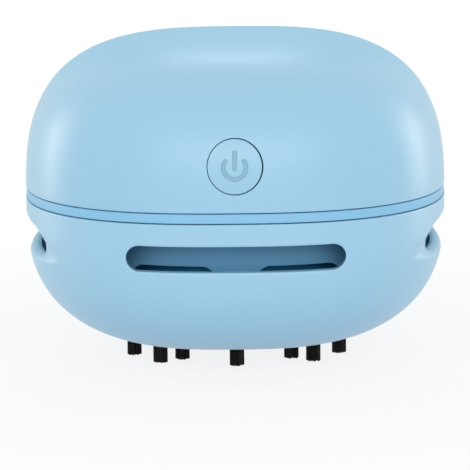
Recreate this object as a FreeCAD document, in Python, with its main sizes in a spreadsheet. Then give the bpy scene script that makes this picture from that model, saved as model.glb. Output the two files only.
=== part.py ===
import FreeCAD, Part
import math
import os
import re

import Sketcher

# Desktop mini vacuum cleaner: a rounded-square pebble in two halves.
# Frame: +Z up, front towards -Y, origin on the table under the middle of the bristle tufts.
# The lower half (dust cup) stands on twelve tufts. The upper half lifts off it and carries the
# fan, motor, cell, push button, charging board and the twist-out filter.

# Driving sizes: name, value in millimetres (or a plain exponent, angle or count), meaning.
DRIVING = [
    ("body_width", 86.0, "width and depth over the widest line"),
    ("crown_rise", 34.5, "widest line to the top"),
    ("belly_drop", 28.9, "widest line down to the underside"),
    ("tuft_reach", 3.9, "table to the lowest point of the underside"),
    ("crown_power", 3.24, "squareness of the upper side profile"),
    ("belly_power", 2.69, "squareness of the lower side profile"),
    ("waist_power", 2.5, "squareness of the plan at the widest line"),
    ("pole_power", 3.0, "squareness of the plan near top and bottom"),
    ("wall", 1.8, "shell wall"),
    ("band_rise", 2.35, "widest line up to the lower seam"),
    ("band_height", 2.35, "lower seam to upper seam"),
    ("seam_gap", 0.3, "open seam above and below the trim ring"),
    ("band_recess", 0.35, "trim ring face behind the shell face"),
    ("band_lip", 0.75, "trim ring hangs this far below the deck top"),
    ("ring_flange", 3.6, "trim ring flange resting on the deck"),
    ("fit_gap", 0.3, "clearance between nested mouldings"),
    ("spigot_wall", 1.2, "locating lip of the trim ring"),
    ("spigot_depth", 2.2, "locating lip reaching into the dust cup"),
    ("slot_length", 42.4, "exhaust slot, end to end"),
    ("slot_height", 4.9, "exhaust slot"),
    ("slot_drop", 4.7, "widest line down to the slot centre"),
    ("plate_length", 51.0, "brush plate, long axis"),
    ("plate_width", 31.0, "brush plate, short axis"),
    ("plate_depth", 5.0, "brush plate at its middle"),
    ("plate_gap", 0.1, "brush plate in its recess"),
    ("seat_floor", 1.6, "shell floor above the brush plate"),
    ("seat_rim", 2.0, "shell floor around the brush plate"),
    ("mouth_length", 18.0, "suction mouth, end to end"),
    ("mouth_width", 9.0, "suction mouth"),
    ("tuft_diameter", 2.95, "bristle tuft"),
    ("tuft_length", 7.6, "bristle tuft from root to tip"),
    ("tuft_end_x", 21.4, "tufts at the two ends of the oval"),
    ("tuft_side_y", 10.9, "tufts at the middle of the long sides"),
    ("tuft_corner_x", 15.8, "tufts between ends and sides"),
    ("tuft_corner_y", 7.4, "tufts between ends and sides"),
    ("tuft_inner_x", 11.3, "tufts beside the mouth"),
    ("tuft_inner_y", 4.6, "tufts beside the mouth"),
    ("base_screw_x", 9.0, "brush plate screws"),
    ("base_screw_y", 11.6, "brush plate screws"),
    ("plate_land", 1.8, "brush plate between its screw heads and the shell floor"),
    ("tray_floor", 1.4, "dust tray floor"),
    ("tray_wall", 1.4, "dust tray wall and flange"),
    ("tray_depth", 9.0, "dust tray floor to rim"),
    ("tray_step", 0.4, "dust tray wall inside the rim of the fan cover"),
    ("tray_taper", 5.0, "dust tray narrower at its floor, radial"),
    ("tray_flare", 3.5, "height of the sloping part of the tray wall"),
    ("chimney_height", 5.6, "inlet chimney above the tray floor"),
    ("seal_thickness", 0.5, "foam seal on the tray rim"),
    ("seal_width", 1.6, "foam seal, radial"),
    ("seal_gap", 0.1, "seal to the fan cover collar"),
    ("deck_inset", 5.0, "side of the casing to the edge of the chassis deck"),
    ("deck_thickness", 1.8, "chassis deck"),
    ("skirt_inset", 8.5, "side of the casing to the chassis skirt"),
    ("skirt_wall", 1.5, "chassis skirt"),
    ("skirt_gap", 1.0, "skirt edge above the tray flange"),
    ("window_width", 16.4, "air window in the skirt"),
    ("tongue_width", 8.4, "tongue between two windows"),
    ("window_drop", 0.3, "window top below the slot's lower edge"),
    ("window_round", 2.5, "window corner radius"),
    ("impeller_inset", 9.4, "rim of the fan cover to the rim of the fan"),
    ("impeller_gap", 2.0, "deck to the fan disc"),
    ("disc_thickness", 1.2, "fan disc"),
    ("vane_height", 4.6, "fan vane"),
    ("vane_thickness", 1.0, "fan vane"),
    ("vane_root", 7.5, "radius at which the vanes start"),
    ("vane_lean", 24.0, "vane set back from radial, degrees"),
    ("vane_count", 9, "number of fan vanes"),
    ("hub_radius", 3.6, "fan hub"),
    ("fan_gap", 0.6, "vanes to the fan cover"),
    ("cover_thickness", 1.2, "fan cover"),
    ("cover_inset", 4.1, "outside of the skirt to the rim of the fan cover"),
    ("collar_wall", 2.6, "bayonet collar of the fan cover"),
    ("cover_post_inset", 0.3, "rim of the fan cover to its posts"),
    ("eye_radius", 9.5, "air eye of the fan cover"),
    ("post_radius", 2.4, "screw post"),
    ("filter_gap", 0.4, "filter frame under the fan cover"),
    ("filter_height", 3.4, "filter frame"),
    ("filter_rim", 2.9, "filter frame ring, radial"),
    ("filter_ledge", 1.2, "ledge that carries the filter pad"),
    ("filter_bar", 1.6, "filter cross bars"),
    ("ledge_thickness", 0.7, "filter ledge and cross bars"),
    ("pad_thickness", 1.8, "filter pad"),
    ("grip_height", 1.4, "finger rib under the filter"),
    ("lug_reach", 1.5, "bayonet lug beyond the filter frame"),
    ("lug_thickness", 1.0, "bayonet lug"),
    ("lug_angle", 14.0, "bayonet lug, degrees"),
    ("lug_drop", 1.6, "bayonet lug below the filter top"),
    ("lug_slack", 2.0, "bayonet slot beyond each end of a lug, degrees"),
    ("slot_skin", 0.5, "bayonet slots start this far inside the collar"),
    ("lug_count", 3, "number of bayonet lugs"),
    ("twist_angle", 25.0, "filter twist from locked to free, degrees"),
    ("motor_radius", 12.0, "motor can"),
    ("motor_length", 20.0, "motor can"),
    ("can_wall", 0.8, "motor can"),
    ("bell_thickness", 2.6, "motor end bell"),
    ("shaft_radius", 1.0, "motor shaft"),
    ("shaft_fit", 0.02, "shaft in its bushes, radial"),
    ("bush_radius", 3.0, "motor bush"),
    ("bush_length", 3.0, "motor bush"),
    ("magnet_thickness", 1.7, "motor magnet"),
    ("magnet_length", 14.0, "motor magnet"),
    ("magnet_angle", 130.0, "arc of a motor magnet, degrees"),
    ("magnet_lift", 1.0, "motor magnets above the can floor"),
    ("air_gap", 0.8, "magnet to rotor"),
    ("core_length", 10.0, "rotor core"),
    ("shoe_thickness", 1.5, "rotor pole shoe"),
    ("shoe_angle", 96.0, "arc of a rotor pole shoe, degrees"),
    ("neck_width", 3.0, "rotor pole neck"),
    ("coil_build", 1.3, "copper around a pole neck"),
    ("commutator_radius", 2.2, "commutator"),
    ("commutator_length", 3.2, "commutator"),
    ("brush_width", 1.6, "motor brush"),
    ("terminal_width", 2.0, "motor terminal"),
    ("terminal_height", 3.0, "motor terminal above the end bell"),
    ("motor_screw_place", 8.0, "motor screws from the axis"),
    ("screw_radius", 1.1, "screw shank"),
    ("screw_head", 2.0, "screw head radius"),
    ("head_height", 1.2, "screw head"),
    ("thread_gap", 0.02, "screw in its pilot hole, radial"),
    ("hole_gap", 0.25, "screw in its clearance hole, radial"),
    ("boss_radius", 3.0, "upper shell boss"),
    ("boss_inset", 14.5, "side of the casing to the upper shell bosses"),
    ("boss_y", 11.0, "upper shell bosses from the middle"),
    ("boss_screw", 8.0, "screw length above the deck in a boss"),
    ("cell_gap", 2.5, "motor to the lithium cell"),
    ("cell_inset", 18.0, "side of the casing to the end of the cell"),
    ("cell_lift", 2.2, "cell above the deck"),
    ("cap_radius", 2.75, "cell terminal nub"),
    ("cap_height", 0.8, "cell terminal nub"),
    ("saddle_width", 3.0, "cell saddle"),
    ("saddle_share", 0.3, "cell saddles from the middle, share of the cell length"),
    ("button_diameter", 10.5, "push button"),
    ("button_gap", 0.2, "ring gap round the button"),
    ("button_rise", 13.6, "widest line up to the button centre"),
    ("button_travel", 0.6, "push button stroke"),
    ("guide_wall", 1.3, "tube that guides the button"),
    ("flange_width", 0.95, "button flange beyond the cap"),
    ("flange_thickness", 1.0, "button flange"),
    ("symbol_radius", 2.25, "power symbol arc, middle of the stroke"),
    ("symbol_stroke", 0.85, "power symbol stroke"),
    ("symbol_depth", 0.25, "power symbol engraving"),
    ("symbol_opening", 54.0, "power symbol gap, half angle in degrees"),
    ("symbol_bar", 3.9, "power symbol bar"),
    ("board_thickness", 1.2, "circuit board"),
    ("switch_board_width", 26.0, "switch board"),
    ("switch_board_height", 15.0, "switch board"),
    ("switch_board_inset", 10.0, "front of the casing to the switch board"),
    ("switch_size", 6.0, "key switch body"),
    ("switch_depth", 3.2, "key switch body"),
    ("plunger_radius", 1.7, "key switch plunger"),
    ("plunger_gap", 0.15, "plunger in its switch, radial"),
    ("switch_screw_x", 9.6, "switch board screws"),
    ("switch_screw_depth", 6.0, "pilot holes in the switch board posts"),
    ("charge_board_width", 16.0, "charging board"),
    ("charge_board_depth", 10.0, "charging board"),
    ("charge_board_lift", 3.8, "charging board above the deck"),
    ("socket_width", 8.9, "charging socket"),
    ("socket_height", 3.2, "charging socket"),
    ("socket_depth", 7.3, "charging socket"),
    ("socket_wall", 0.3, "charging socket sleeve"),
    ("tongue_plate_width", 6.2, "contact tongue in the charging socket"),
    ("tongue_plate_height", 0.7, "contact tongue in the charging socket"),
    ("socket_setback", 0.5, "socket mouth behind the inner wall"),
    ("port_gap", 0.3, "shell opening round the charging socket"),
    ("charge_screw_x", 6.2, "charging board screws"),
    ("charge_screw_inset", 2.2, "charging board screws from its front edge"),
    ("charge_gap", 0.9, "cell to the charging board"),
    ("charge_board_inset", 3.6, "back of the casing to the charging board"),
]

# Sizes worked out from the driving ones: name and formula.
DERIVED = [
    ("half_width", "body_width / 2"),
    ("deck_width", "body_width - 2 * deck_inset"),
    ("skirt_width", "body_width - 2 * skirt_inset"),
    ("cover_radius", "skirt_width / 2 - cover_inset"),
    ("cover_post_place", "(cover_radius - cover_post_inset - post_radius) / sqrt(2)"),
    ("collar_inner", "cover_radius - collar_wall"),
    ("filter_radius", "collar_inner - fit_gap"),
    ("impeller_radius", "cover_radius - impeller_inset"),
    ("tray_radius", "cover_radius - tray_step"),
    ("tray_foot", "tray_radius - tray_taper"),
    ("boss_x", "half_width - boss_inset"),
    ("equator", "tuft_reach + belly_drop"),
    ("lower_seam", "equator + band_rise"),
    ("upper_seam", "lower_seam + band_height"),
    ("crown", "equator + crown_rise"),
    ("band_bottom", "lower_seam + seam_gap"),
    ("band_top", "upper_seam - seam_gap"),
    ("deck_top", "band_bottom + band_lip"),
    ("deck_bottom", "deck_top - deck_thickness"),
    ("slot_centre", "equator - slot_drop"),
    ("slot_bottom", "slot_centre - slot_height / 2"),
    ("window_top", "slot_bottom - window_drop"),
    ("plate_top", "tuft_reach + plate_depth"),
    ("seat_bottom", "plate_top + plate_gap"),
    ("seat_top", "seat_bottom + seat_floor"),
    ("tray_inside", "seat_top + tray_floor"),
    ("tray_rim", "tray_inside + tray_depth"),
    ("tray_mouth", "tray_radius - tray_wall"),
    ("chimney_top", "tray_inside + chimney_height"),
    ("seal_top", "tray_rim + seal_thickness"),
    ("collar_bottom", "seal_top + seal_gap"),
    ("skirt_bottom", "tray_rim + skirt_gap"),
    ("impeller_top", "deck_bottom - impeller_gap"),
    ("disc_bottom", "impeller_top - disc_thickness"),
    ("vane_bottom", "disc_bottom - vane_height"),
    ("cover_top", "vane_bottom - fan_gap"),
    ("cover_bottom", "cover_top - cover_thickness"),
    ("filter_top", "cover_bottom - filter_gap"),
    ("filter_bottom", "filter_top - filter_height"),
    ("lug_top", "filter_top - lug_drop + lug_thickness"),
    ("lug_bottom", "filter_top - lug_drop"),
    ("pad_radius", "filter_radius - filter_rim"),
    ("pad_bottom", "filter_bottom + ledge_thickness"),
    ("can_top", "deck_top + motor_length"),
    ("bell_top", "can_top + bell_thickness"),
    ("can_inner", "motor_radius - can_wall"),
    ("magnet_inner", "can_inner - magnet_thickness"),
    ("rotor_radius", "magnet_inner - air_gap"),
    ("magnet_bottom", "deck_top + can_wall + magnet_lift"),
    ("core_bottom", "magnet_bottom + (magnet_length - core_length) / 2"),
    ("core_top", "core_bottom + core_length"),
    ("commutator_bottom", "can_top - commutator_length - brush_width / 4"),
    ("shaft_bottom", "vane_bottom + fan_gap"),
    ("bush_inner", "shaft_radius + shaft_fit"),
    ("charge_board_front", "half_width - charge_board_inset - charge_board_depth"),
    ("cell_front", "motor_radius + cell_gap"),
    ("cell_radius", "(charge_board_front - charge_gap - cell_front) / 2"),
    ("cell_place", "cell_front + cell_radius"),
    ("cell_length", "body_width - 2 * cell_inset"),
    ("cell_height", "deck_top + cell_lift + cell_radius"),
    ("saddle_place", "saddle_share * cell_length"),
    ("button_height", "equator + button_rise"),
    ("button_radius", "button_diameter / 2"),
    ("guide_inner", "button_radius + button_gap"),
    ("guide_outer", "guide_inner + guide_wall"),
    ("switch_board_place", "half_width - switch_board_inset"),
    ("switch_front", "switch_board_place + switch_depth"),
    ("flange_back", "switch_front + button_travel + fit_gap"),
    ("flange_front", "flange_back + flange_thickness"),
    ("guide_end", "flange_front + fit_gap"),
    ("pilot_radius", "screw_radius + thread_gap"),
    ("clear_radius", "screw_radius + hole_gap"),
    ("charge_board_bottom", "deck_top + charge_board_lift"),
    ("charge_board_top", "charge_board_bottom + board_thickness"),
    ("charge_screw_y", "charge_board_front + charge_screw_inset"),
    ("socket_centre", "charge_board_top + socket_height / 2"),
    ("socket_mouth", "half_width - wall - socket_setback"),
]

RING_POINTS = 48      # points round the plan of the form
PROFILE_POINTS = 25   # points from the underside to the top of the form
FAR = 200.0           # longer than anything in the object, for cutting blocks
UP = FreeCAD.Vector(0, 0, 1)
BACK = FreeCAD.Vector(0, 1, 0)
ORIGIN = FreeCAD.Vector(0, 0, 0)
SIDES = (0, 90, 180, 270)
POLES = (0, 120, 240)
SIGNS = (1, -1)
LEVEL_MATCH = 1e-4    # heights this close are the same height
SCREW_POINT = 0.6     # screw point and drive recess, share of the shank radius
HEAD_TOP = 0.8        # flat top of a screw head, share of its radius
HEAD_EDGE = 0.5       # upright edge of a screw head, share of its height
RECESS_FLOOR = 0.4    # floor of the drive recess, share of the head height
HUB_NOSE = 0.7        # end of the fan hub, share of its radius

doc = FreeCAD.newDocument("desktop_vacuum")
pieces = []


# ---------------------------------------------------------------- sizes

def make_sheet():
    """Write the driving sizes into the spreadsheet, one named cell each."""
    sheet = doc.addObject("Spreadsheet::Sheet", "Sizes")
    for row, (name, value, meaning) in enumerate(DRIVING, start=1):
        sheet.set("A%d" % row, meaning)
        sheet.set("B%d" % row, str(value))
        sheet.setAlias("B%d" % row, name)
    return sheet


def make_derived():
    """Bind every worked-out size to its formula."""
    derived = doc.addObject("App::VarSet", "Derived")
    for name, formula in DERIVED:
        derived.addProperty("App::PropertyFloat", name)
        derived.setExpression(name, bound(formula))
    return derived


def bound(formula):
    """Formula with each size name led by the object that holds it."""
    return re.sub(r"[a-z_]+", qualified, formula)


def qualified(word):
    """One word of a formula, led by its holder if it is the name of a size."""
    name = word.group()
    if name in DRIVING_NAMES:
        return "Sizes." + name
    if name in DERIVED_NAMES:
        return "Derived." + name
    return name


class SizeReader:
    """Reads a size by its name, for shapes that are worked out in code."""

    def __getattr__(self, name):
        if name in DRIVING_NAMES:
            return float(sheet.get(name))
        return float(getattr(derived, name))


DRIVING_NAMES = {name for name, value, meaning in DRIVING}
DERIVED_NAMES = {name for name, formula in DERIVED}
sheet = make_sheet()
doc.recompute()
derived = make_derived()
doc.recompute()
sizes = SizeReader()


# ---------------------------------------------------------------- parametric helpers

def keep(thing, label):
    """Label an object as one finished sub-part."""
    thing.Label = label
    pieces.append(thing)
    return thing


def make_body(label):
    """Empty body that may hold a group of equal solids."""
    body = doc.addObject("PartDesign::Body", label)
    body.AllowCompound = True
    return keep(body, label)


def make_sketch(body, name, plane, offset=("0", "0", "0")):
    """Sketch on one of the body's own origin planes, moved by three formulas."""
    planes = {feature.Role: feature for feature in body.Origin.OriginFeatures}
    sketch = body.newObject("Sketcher::SketchObject", name)
    sketch.AttachmentSupport = [(planes[plane], "")]
    sketch.MapMode = "FlatFace"
    for axis, formula in zip("xyz", offset):
        sketch.setExpression("AttachmentOffset.Base." + axis, bound(formula))
    return sketch


def fix_point(sketch, geometry, point, place):
    """Hold one sketch point at a place given by two formulas."""
    for kind, formula in zip(("DistanceX", "DistanceY"), place):
        index = sketch.addConstraint(Sketcher.Constraint(kind, -1, 1, geometry, point, 1.0))
        sketch.setExpression("Constraints[%d]" % index, bound(formula))


def draw_outline(sketch, outline):
    """Closed outline of straight lines through places given by formulas."""
    first = sketch.GeometryCount
    count = len(outline)
    spots = [FreeCAD.Vector(math.cos(2 * math.pi * i / count), math.sin(2 * math.pi * i / count), 0)
             for i in range(count)]
    for i in range(count):
        sketch.addGeometry(Part.LineSegment(spots[i], spots[(i + 1) % count]), False)
    for i in range(count):
        follower = first + (i + 1) % count
        sketch.addConstraint(Sketcher.Constraint("Coincident", first + i, 2, follower, 1))
    for i, place in enumerate(outline):
        fix_point(sketch, first + i, 1, place)


def draw_circle(sketch, place, radius):
    """Circle whose centre and radius are formulas."""
    index = sketch.addGeometry(Part.Circle(ORIGIN, UP, 1.0), False)
    fix_point(sketch, index, 3, place)
    constraint = sketch.addConstraint(Sketcher.Constraint("Radius", index, 1.0))
    sketch.setExpression("Constraints[%d]" % constraint, bound(radius))


def turn_outline(body, name, outline, x="0", y="0"):
    """Revolve an outline of (radius, height) formulas about the upright line at x, y."""
    sketch = make_sketch(body, name + "_outline", "XZ_Plane", (x, "0", "-(%s)" % y))
    draw_outline(sketch, outline)
    turned = body.newObject("PartDesign::Revolution", name)
    turned.Profile = sketch
    turned.ReferenceAxis = (sketch, ["V_Axis"])
    turned.Angle = 360
    return turned


def pad_sketch(body, name, sketch, height):
    """Pad a sketch upwards by a formula."""
    pad = body.newObject("PartDesign::Pad", name)
    pad.Profile = sketch
    pad.setExpression("Length", bound(height))
    return pad


def pad_outline(body, name, outline, bottom, height):
    """Upright prism of an outline given by formulas."""
    sketch = make_sketch(body, name + "_outline", "XY_Plane", ("0", "0", bottom))
    draw_outline(sketch, outline)
    return pad_sketch(body, name, sketch, height)


def pattern_round(body, name, feature, count):
    """Repeat one feature evenly round the upright axis."""
    axes = {axis.Role: axis for axis in body.Origin.OriginFeatures}
    pattern = body.newObject("PartDesign::PolarPattern", name)
    pattern.Originals = [feature]
    pattern.Axis = (axes["Z_Axis"], [""])
    pattern.Angle = 360
    pattern.setExpression("Occurrences", bound(count))
    body.Tip = pattern
    return pattern


def turned_piece(label, outline):
    """Sub-part that is one body of revolution about the upright axis."""
    body = make_body(label)
    turn_outline(body, label + "_turned", outline)
    return body


def rectangle(x_low, x_high, y_low, y_high):
    """Four corners of a rectangle given by formulas."""
    return [(x_low, y_low), (x_high, y_low), (x_high, y_high), (x_low, y_high)]


def band(inner, outer, bottom, top):
    """Half section of a plain ring."""
    return rectangle(inner, outer, bottom, top)


def set_placement(thing, x, y, z, axis=UP, angle=0.0):
    """Place an object by three formulas and a fixed rotation."""
    thing.Placement = FreeCAD.Placement(ORIGIN, FreeCAD.Rotation(axis, angle))
    for name, formula in zip("xyz", (x, y, z)):
        thing.setExpression("Placement.Base." + name, bound(formula))


def screw_outline(seat, tip, head_way):
    """Half section of a pan-head screw: head seated at one height, point at another."""
    head = "%s + (%d) * head_height" % (seat, head_way)
    edge = "%s + (%g) * head_height" % (seat, head_way * HEAD_EDGE)
    recess = "%s + (%g) * head_height" % (seat, head_way * RECESS_FLOOR)
    shoulder = "%s + (%g) * screw_radius" % (tip, head_way * SCREW_POINT)
    point = "screw_radius * %g" % SCREW_POINT
    return [("0", tip), (point, tip), ("screw_radius", shoulder), ("screw_radius", seat),
            ("screw_head", seat), ("screw_head", edge), ("screw_head * %g" % HEAD_TOP, head),
            (point, head), ("0", recess)]


def screw_group(label, outline, places):
    """One node of equal screws, each a separate solid."""
    body = make_body(label)
    for number, (x, y) in enumerate(places, start=1):
        turn_outline(body, "%s_%d" % (label, number), outline, x, y)
    return body


def four_places(x, y):
    """The four corners of a rectangle of screws, as formulas."""
    return [("%d * %s" % (side, x), "%d * %s" % (end, y)) for side in SIGNS for end in SIGNS]


# ---------------------------------------------------------------- the rounded-square form

def lame_radius(angle, along, across, power):
    """Distance to a superellipse of the given half axes, in the given direction."""
    cosine = abs(math.cos(angle)) / along
    sine = abs(math.sin(angle)) / across
    return (cosine ** power + sine ** power) ** (-1.0 / power)


def form_point(turn, tilt, inset):
    """Point of the form, inset evenly, at a turn about Z and a tilt from the widest line."""
    if tilt >= 0:
        rise, power = sizes.crown_rise - inset, sizes.crown_power
    else:
        rise, power = sizes.belly_drop - inset, sizes.belly_power
    reach = lame_radius(tilt, sizes.half_width - inset, rise, power)
    spread = math.cos(tilt) ** 2
    plan_power = sizes.pole_power + (sizes.waist_power - sizes.pole_power) * spread
    radius = reach * math.cos(tilt) * lame_radius(turn, 1, 1, plan_power)
    height = sizes.equator + reach * math.sin(tilt)
    return FreeCAD.Vector(radius * math.cos(turn), radius * math.sin(turn), height)


def smooth_ring(points):
    """Closed smooth curve through points, with evenly spaced parameters."""
    curve = Part.BSplineCurve()
    count = len(points)
    steps = [i / count for i in range(count + 1)]
    curve.interpolate(Points=points, PeriodicFlag=True, Parameters=steps)
    return curve


def form_solid(inset):
    """The whole pebble as one solid with a single smooth surface."""
    rings = []
    for row in range(1, PROFILE_POINTS - 1):
        tilt = math.pi * (row / (PROFILE_POINTS - 1) - 0.5)
        ring = smooth_ring([form_point(2 * math.pi * i / RING_POINTS, tilt, inset)
                            for i in range(RING_POINTS)])
        rings.append(ring.getPoles())
    for tilt, index in ((-math.pi / 2, 0), (math.pi / 2, len(rings) + 1)):
        rings.insert(index, [form_point(0, tilt, inset)] * len(rings[0]))
    for pole_ring in (rings[0], rings[-1]):
        for number, point in enumerate(pole_ring):
            pole_ring[number] = FreeCAD.Vector(0, 0, point.z)
    heights = [row / (PROFILE_POINTS - 1) for row in range(PROFILE_POINTS)]
    columns = []
    for column in range(len(rings[0])):
        meridian = Part.BSplineCurve()
        meridian.interpolate(Points=[line[column] for line in rings], PeriodicFlag=False,
                             Parameters=heights)
        columns.append(meridian.getPoles())
    surface = Part.BSplineSurface()
    surface.buildFromPolesMultsKnots(columns, ring.getMultiplicities(), meridian.getMultiplicities(),
                                     ring.getKnots(), meridian.getKnots(), True, False, 3, 3)
    return Part.Solid(Part.Shell([surface.toShape()]))


form_store = {}


def form(inset):
    """The form with its surface moved inwards by an even amount."""
    if inset not in form_store:
        form_store[inset] = form_solid(inset)
    return form_store[inset]


def layer(bottom, top):
    """Wide flat block between two heights."""
    return Part.makeBox(FAR, FAR, top - bottom, FreeCAD.Vector(-FAR / 2, -FAR / 2, bottom))


def prism_of(edge, bottom, top):
    """Upright prism between two heights over a closed flat curve."""
    base = Part.Face(Part.Wire([edge]))
    base.translate(FreeCAD.Vector(0, 0, bottom))
    return base.extrude(FreeCAD.Vector(0, 0, top - bottom))


def square_prism(width, bottom, top):
    """Upright prism with the rounded-square plan of the widest line."""
    points = []
    for i in range(RING_POINTS):
        turn = 2 * math.pi * i / RING_POINTS
        radius = lame_radius(turn, width / 2, width / 2, sizes.waist_power)
        points.append(FreeCAD.Vector(radius * math.cos(turn), radius * math.sin(turn), 0))
    return prism_of(smooth_ring(points).toShape(), bottom, top)


def oval_prism(length, width, bottom, top):
    """Upright prism with an elliptical plan."""
    return prism_of(Part.Ellipse(ORIGIN, length / 2, width / 2).toShape(), bottom, top)


def stadium_block(length, width, depth):
    """Round-ended block about the origin: length along X, width along Y, rising by depth."""
    radius = width / 2
    reach = length / 2 - radius
    middle = Part.makeBox(2 * reach, width, depth, FreeCAD.Vector(-reach, -radius, 0))
    for side in SIGNS:
        end = Part.makeCylinder(radius, depth, FreeCAD.Vector(side * reach, 0, 0), UP)
        middle = middle.fuse(end)
    return middle.removeSplitter()


def stadium_prism(length, width, bottom, top):
    """Upright round-ended prism between two heights."""
    block = stadium_block(length, width, top - bottom)
    block.translate(FreeCAD.Vector(0, 0, bottom))
    return block


def post(radius, x, y, bottom, top):
    """Upright round post or hole."""
    return Part.makeCylinder(radius, top - bottom, FreeCAD.Vector(x, y, bottom), UP)


def level_post(radius, x, height, start, end):
    """Round post or hole that runs along Y between two places."""
    return Part.makeCylinder(radius, end - start, FreeCAD.Vector(x, start, height), BACK)


def level_stadium(width, height, start, end, centre):
    """Round-ended block that runs along Y between two places, wide along X."""
    block = stadium_block(width, height, end - start)
    block.rotate(ORIGIN, FreeCAD.Vector(1, 0, 0), -90)
    block.translate(FreeCAD.Vector(0, start, centre))
    return block


def corners(x, y):
    """The four corner places of a rectangle, as numbers."""
    return [(side * x, end * y) for side in SIGNS for end in SIGNS]


def fuse_all(base, added):
    """Base with every added solid joined to it."""
    return base.multiFuse(added).removeSplitter() if added else base


def keep_shape(label, shape):
    """Store a worked-out shape as one finished sub-part."""
    feature = doc.addObject("Part::Feature", label)
    feature.Shape = shape if shape.ShapeType != "Compound" or len(shape.Solids) > 1 else shape.Solids[0]
    feature.Placement = FreeCAD.Placement()
    return keep(feature, label)


# ---------------------------------------------------------------- dust cup

def slot_cutter(angle, length, height, inner):
    """Round-ended block that opens one exhaust slot from the given radius outwards."""
    block = stadium_block(length, height, FAR)
    block.rotate(ORIGIN, FreeCAD.Vector(1, 0, 0), 90)
    block.translate(FreeCAD.Vector(0, -inner, sizes.slot_centre))
    block.rotate(ORIGIN, UP, angle)
    return block


def make_lower_shell():
    """Lower half of the pebble with its floor, brush plate recess, mouth and exhaust slots."""
    bowl = form(0).common(layer(0, sizes.lower_seam))
    seat_plan = oval_prism(sizes.plate_length + 2 * sizes.seat_rim,
                           sizes.plate_width + 2 * sizes.seat_rim, 0, sizes.seat_top)
    hollow = form(sizes.wall).cut(seat_plan)
    shell = bowl.cut(hollow)
    recess = oval_prism(sizes.plate_length + 2 * sizes.plate_gap,
                        sizes.plate_width + 2 * sizes.plate_gap, 0, sizes.seat_bottom)
    mouth = stadium_prism(sizes.mouth_length, sizes.mouth_width, 0, sizes.chimney_top)
    cutters = [recess, mouth]
    for x, y in corners(sizes.base_screw_x, sizes.base_screw_y):
        cutters.append(post(sizes.pilot_radius, x, y, 0, sizes.seat_top))
    for angle in SIDES:
        cutters.append(slot_cutter(angle, sizes.slot_length, sizes.slot_height, sizes.skirt_width / 2))
    return keep_shape("lower_shell", shell.cut(cutters))


def tuft_places():
    """Name and place of every tuft, as formulas."""
    outer = [("tuft_end_x", "0"), ("tuft_corner_x", "tuft_corner_y"), ("0", "tuft_side_y"),
             ("-tuft_corner_x", "tuft_corner_y"), ("-tuft_end_x", "0"),
             ("-tuft_corner_x", "-tuft_corner_y"), ("0", "-tuft_side_y"),
             ("tuft_corner_x", "-tuft_corner_y")]
    inner = four_places("tuft_inner_x", "tuft_inner_y")
    named = [("tuft_outer_%d" % number, place) for number, place in enumerate(outer, start=1)]
    named += [("tuft_inner_%d" % number, place) for number, place in enumerate(inner, start=1)]
    return named


def make_tufts():
    """Twelve upright bristle tufts, cut level where they touch the table."""
    tufts = []
    for label, (x, y) in tuft_places():
        tuft = doc.addObject("Part::Cylinder", label)
        tuft.setExpression("Radius", bound("tuft_diameter / 2"))
        tuft.setExpression("Height", bound("tuft_length"))
        set_placement(tuft, x, y, "0")
        tufts.append(keep(tuft, label))
    return tufts


def make_base_plate(tufts):
    """Oval brush plate that follows the underside, with a mouth, tuft holes and screw holes."""
    plate = form(0).common(oval_prism(sizes.plate_length, sizes.plate_width, 0, sizes.plate_top))
    cutters = [stadium_prism(sizes.mouth_length, sizes.mouth_width, 0, sizes.seat_top)]
    cutters += [tuft.Shape for tuft in tufts]
    for x, y in corners(sizes.base_screw_x, sizes.base_screw_y):
        cutters.append(post(sizes.clear_radius, x, y, 0, sizes.plate_top))
        cutters.append(post(sizes.screw_head + sizes.hole_gap, x, y, 0, sizes.plate_top - sizes.plate_land))
    return keep_shape("base_plate", plate.cut(cutters))


def make_base_screws():
    """Four screws that hold the brush plate to the shell floor."""
    outline = screw_outline("plate_top - plate_land", "seat_top", -1)
    return screw_group("base_screws", outline, four_places("base_screw_x", "base_screw_y"))


def make_dust_tray():
    """Lift-out inner cup with a flange that closes off the exhaust channel."""
    inside_foot = sizes.tray_foot - sizes.tray_wall
    flare_top = sizes.seat_top + sizes.tray_flare
    outline = [(0, sizes.seat_top), (sizes.tray_foot, sizes.seat_top),
               (sizes.tray_radius, flare_top), (sizes.tray_radius, sizes.tray_rim),
               (sizes.tray_mouth, sizes.tray_rim), (sizes.tray_mouth, flare_top),
               (inside_foot, sizes.tray_inside), (0, sizes.tray_inside)]
    corners_3d = [FreeCAD.Vector(radius, 0, height) for radius, height in outline]
    section = Part.Face(Part.makePolygon(corners_3d + corners_3d[:1]))
    cup = section.revolve(ORIGIN, UP, 360)
    flange = form(sizes.wall + sizes.fit_gap).common(layer(sizes.tray_rim - sizes.tray_wall, sizes.tray_rim))
    flange = flange.cut(post(sizes.tray_mouth, 0, 0, 0, sizes.tray_rim))
    chimney = stadium_prism(sizes.mouth_length + 2 * sizes.tray_wall,
                            sizes.mouth_width + 2 * sizes.tray_wall, sizes.seat_top, sizes.chimney_top)
    duct = stadium_prism(sizes.mouth_length, sizes.mouth_width, 0, sizes.tray_rim)
    return keep_shape("dust_tray", fuse_all(cup, [flange, chimney]).cut(duct))


def make_cup_seal():
    """Flat foam ring glued to the tray rim, under the fan cover collar."""
    inner = "cover_radius - seal_width"
    return turned_piece("cup_seal", band(inner, "cover_radius", "tray_rim", "seal_top"))


# ---------------------------------------------------------------- upper unit

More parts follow.
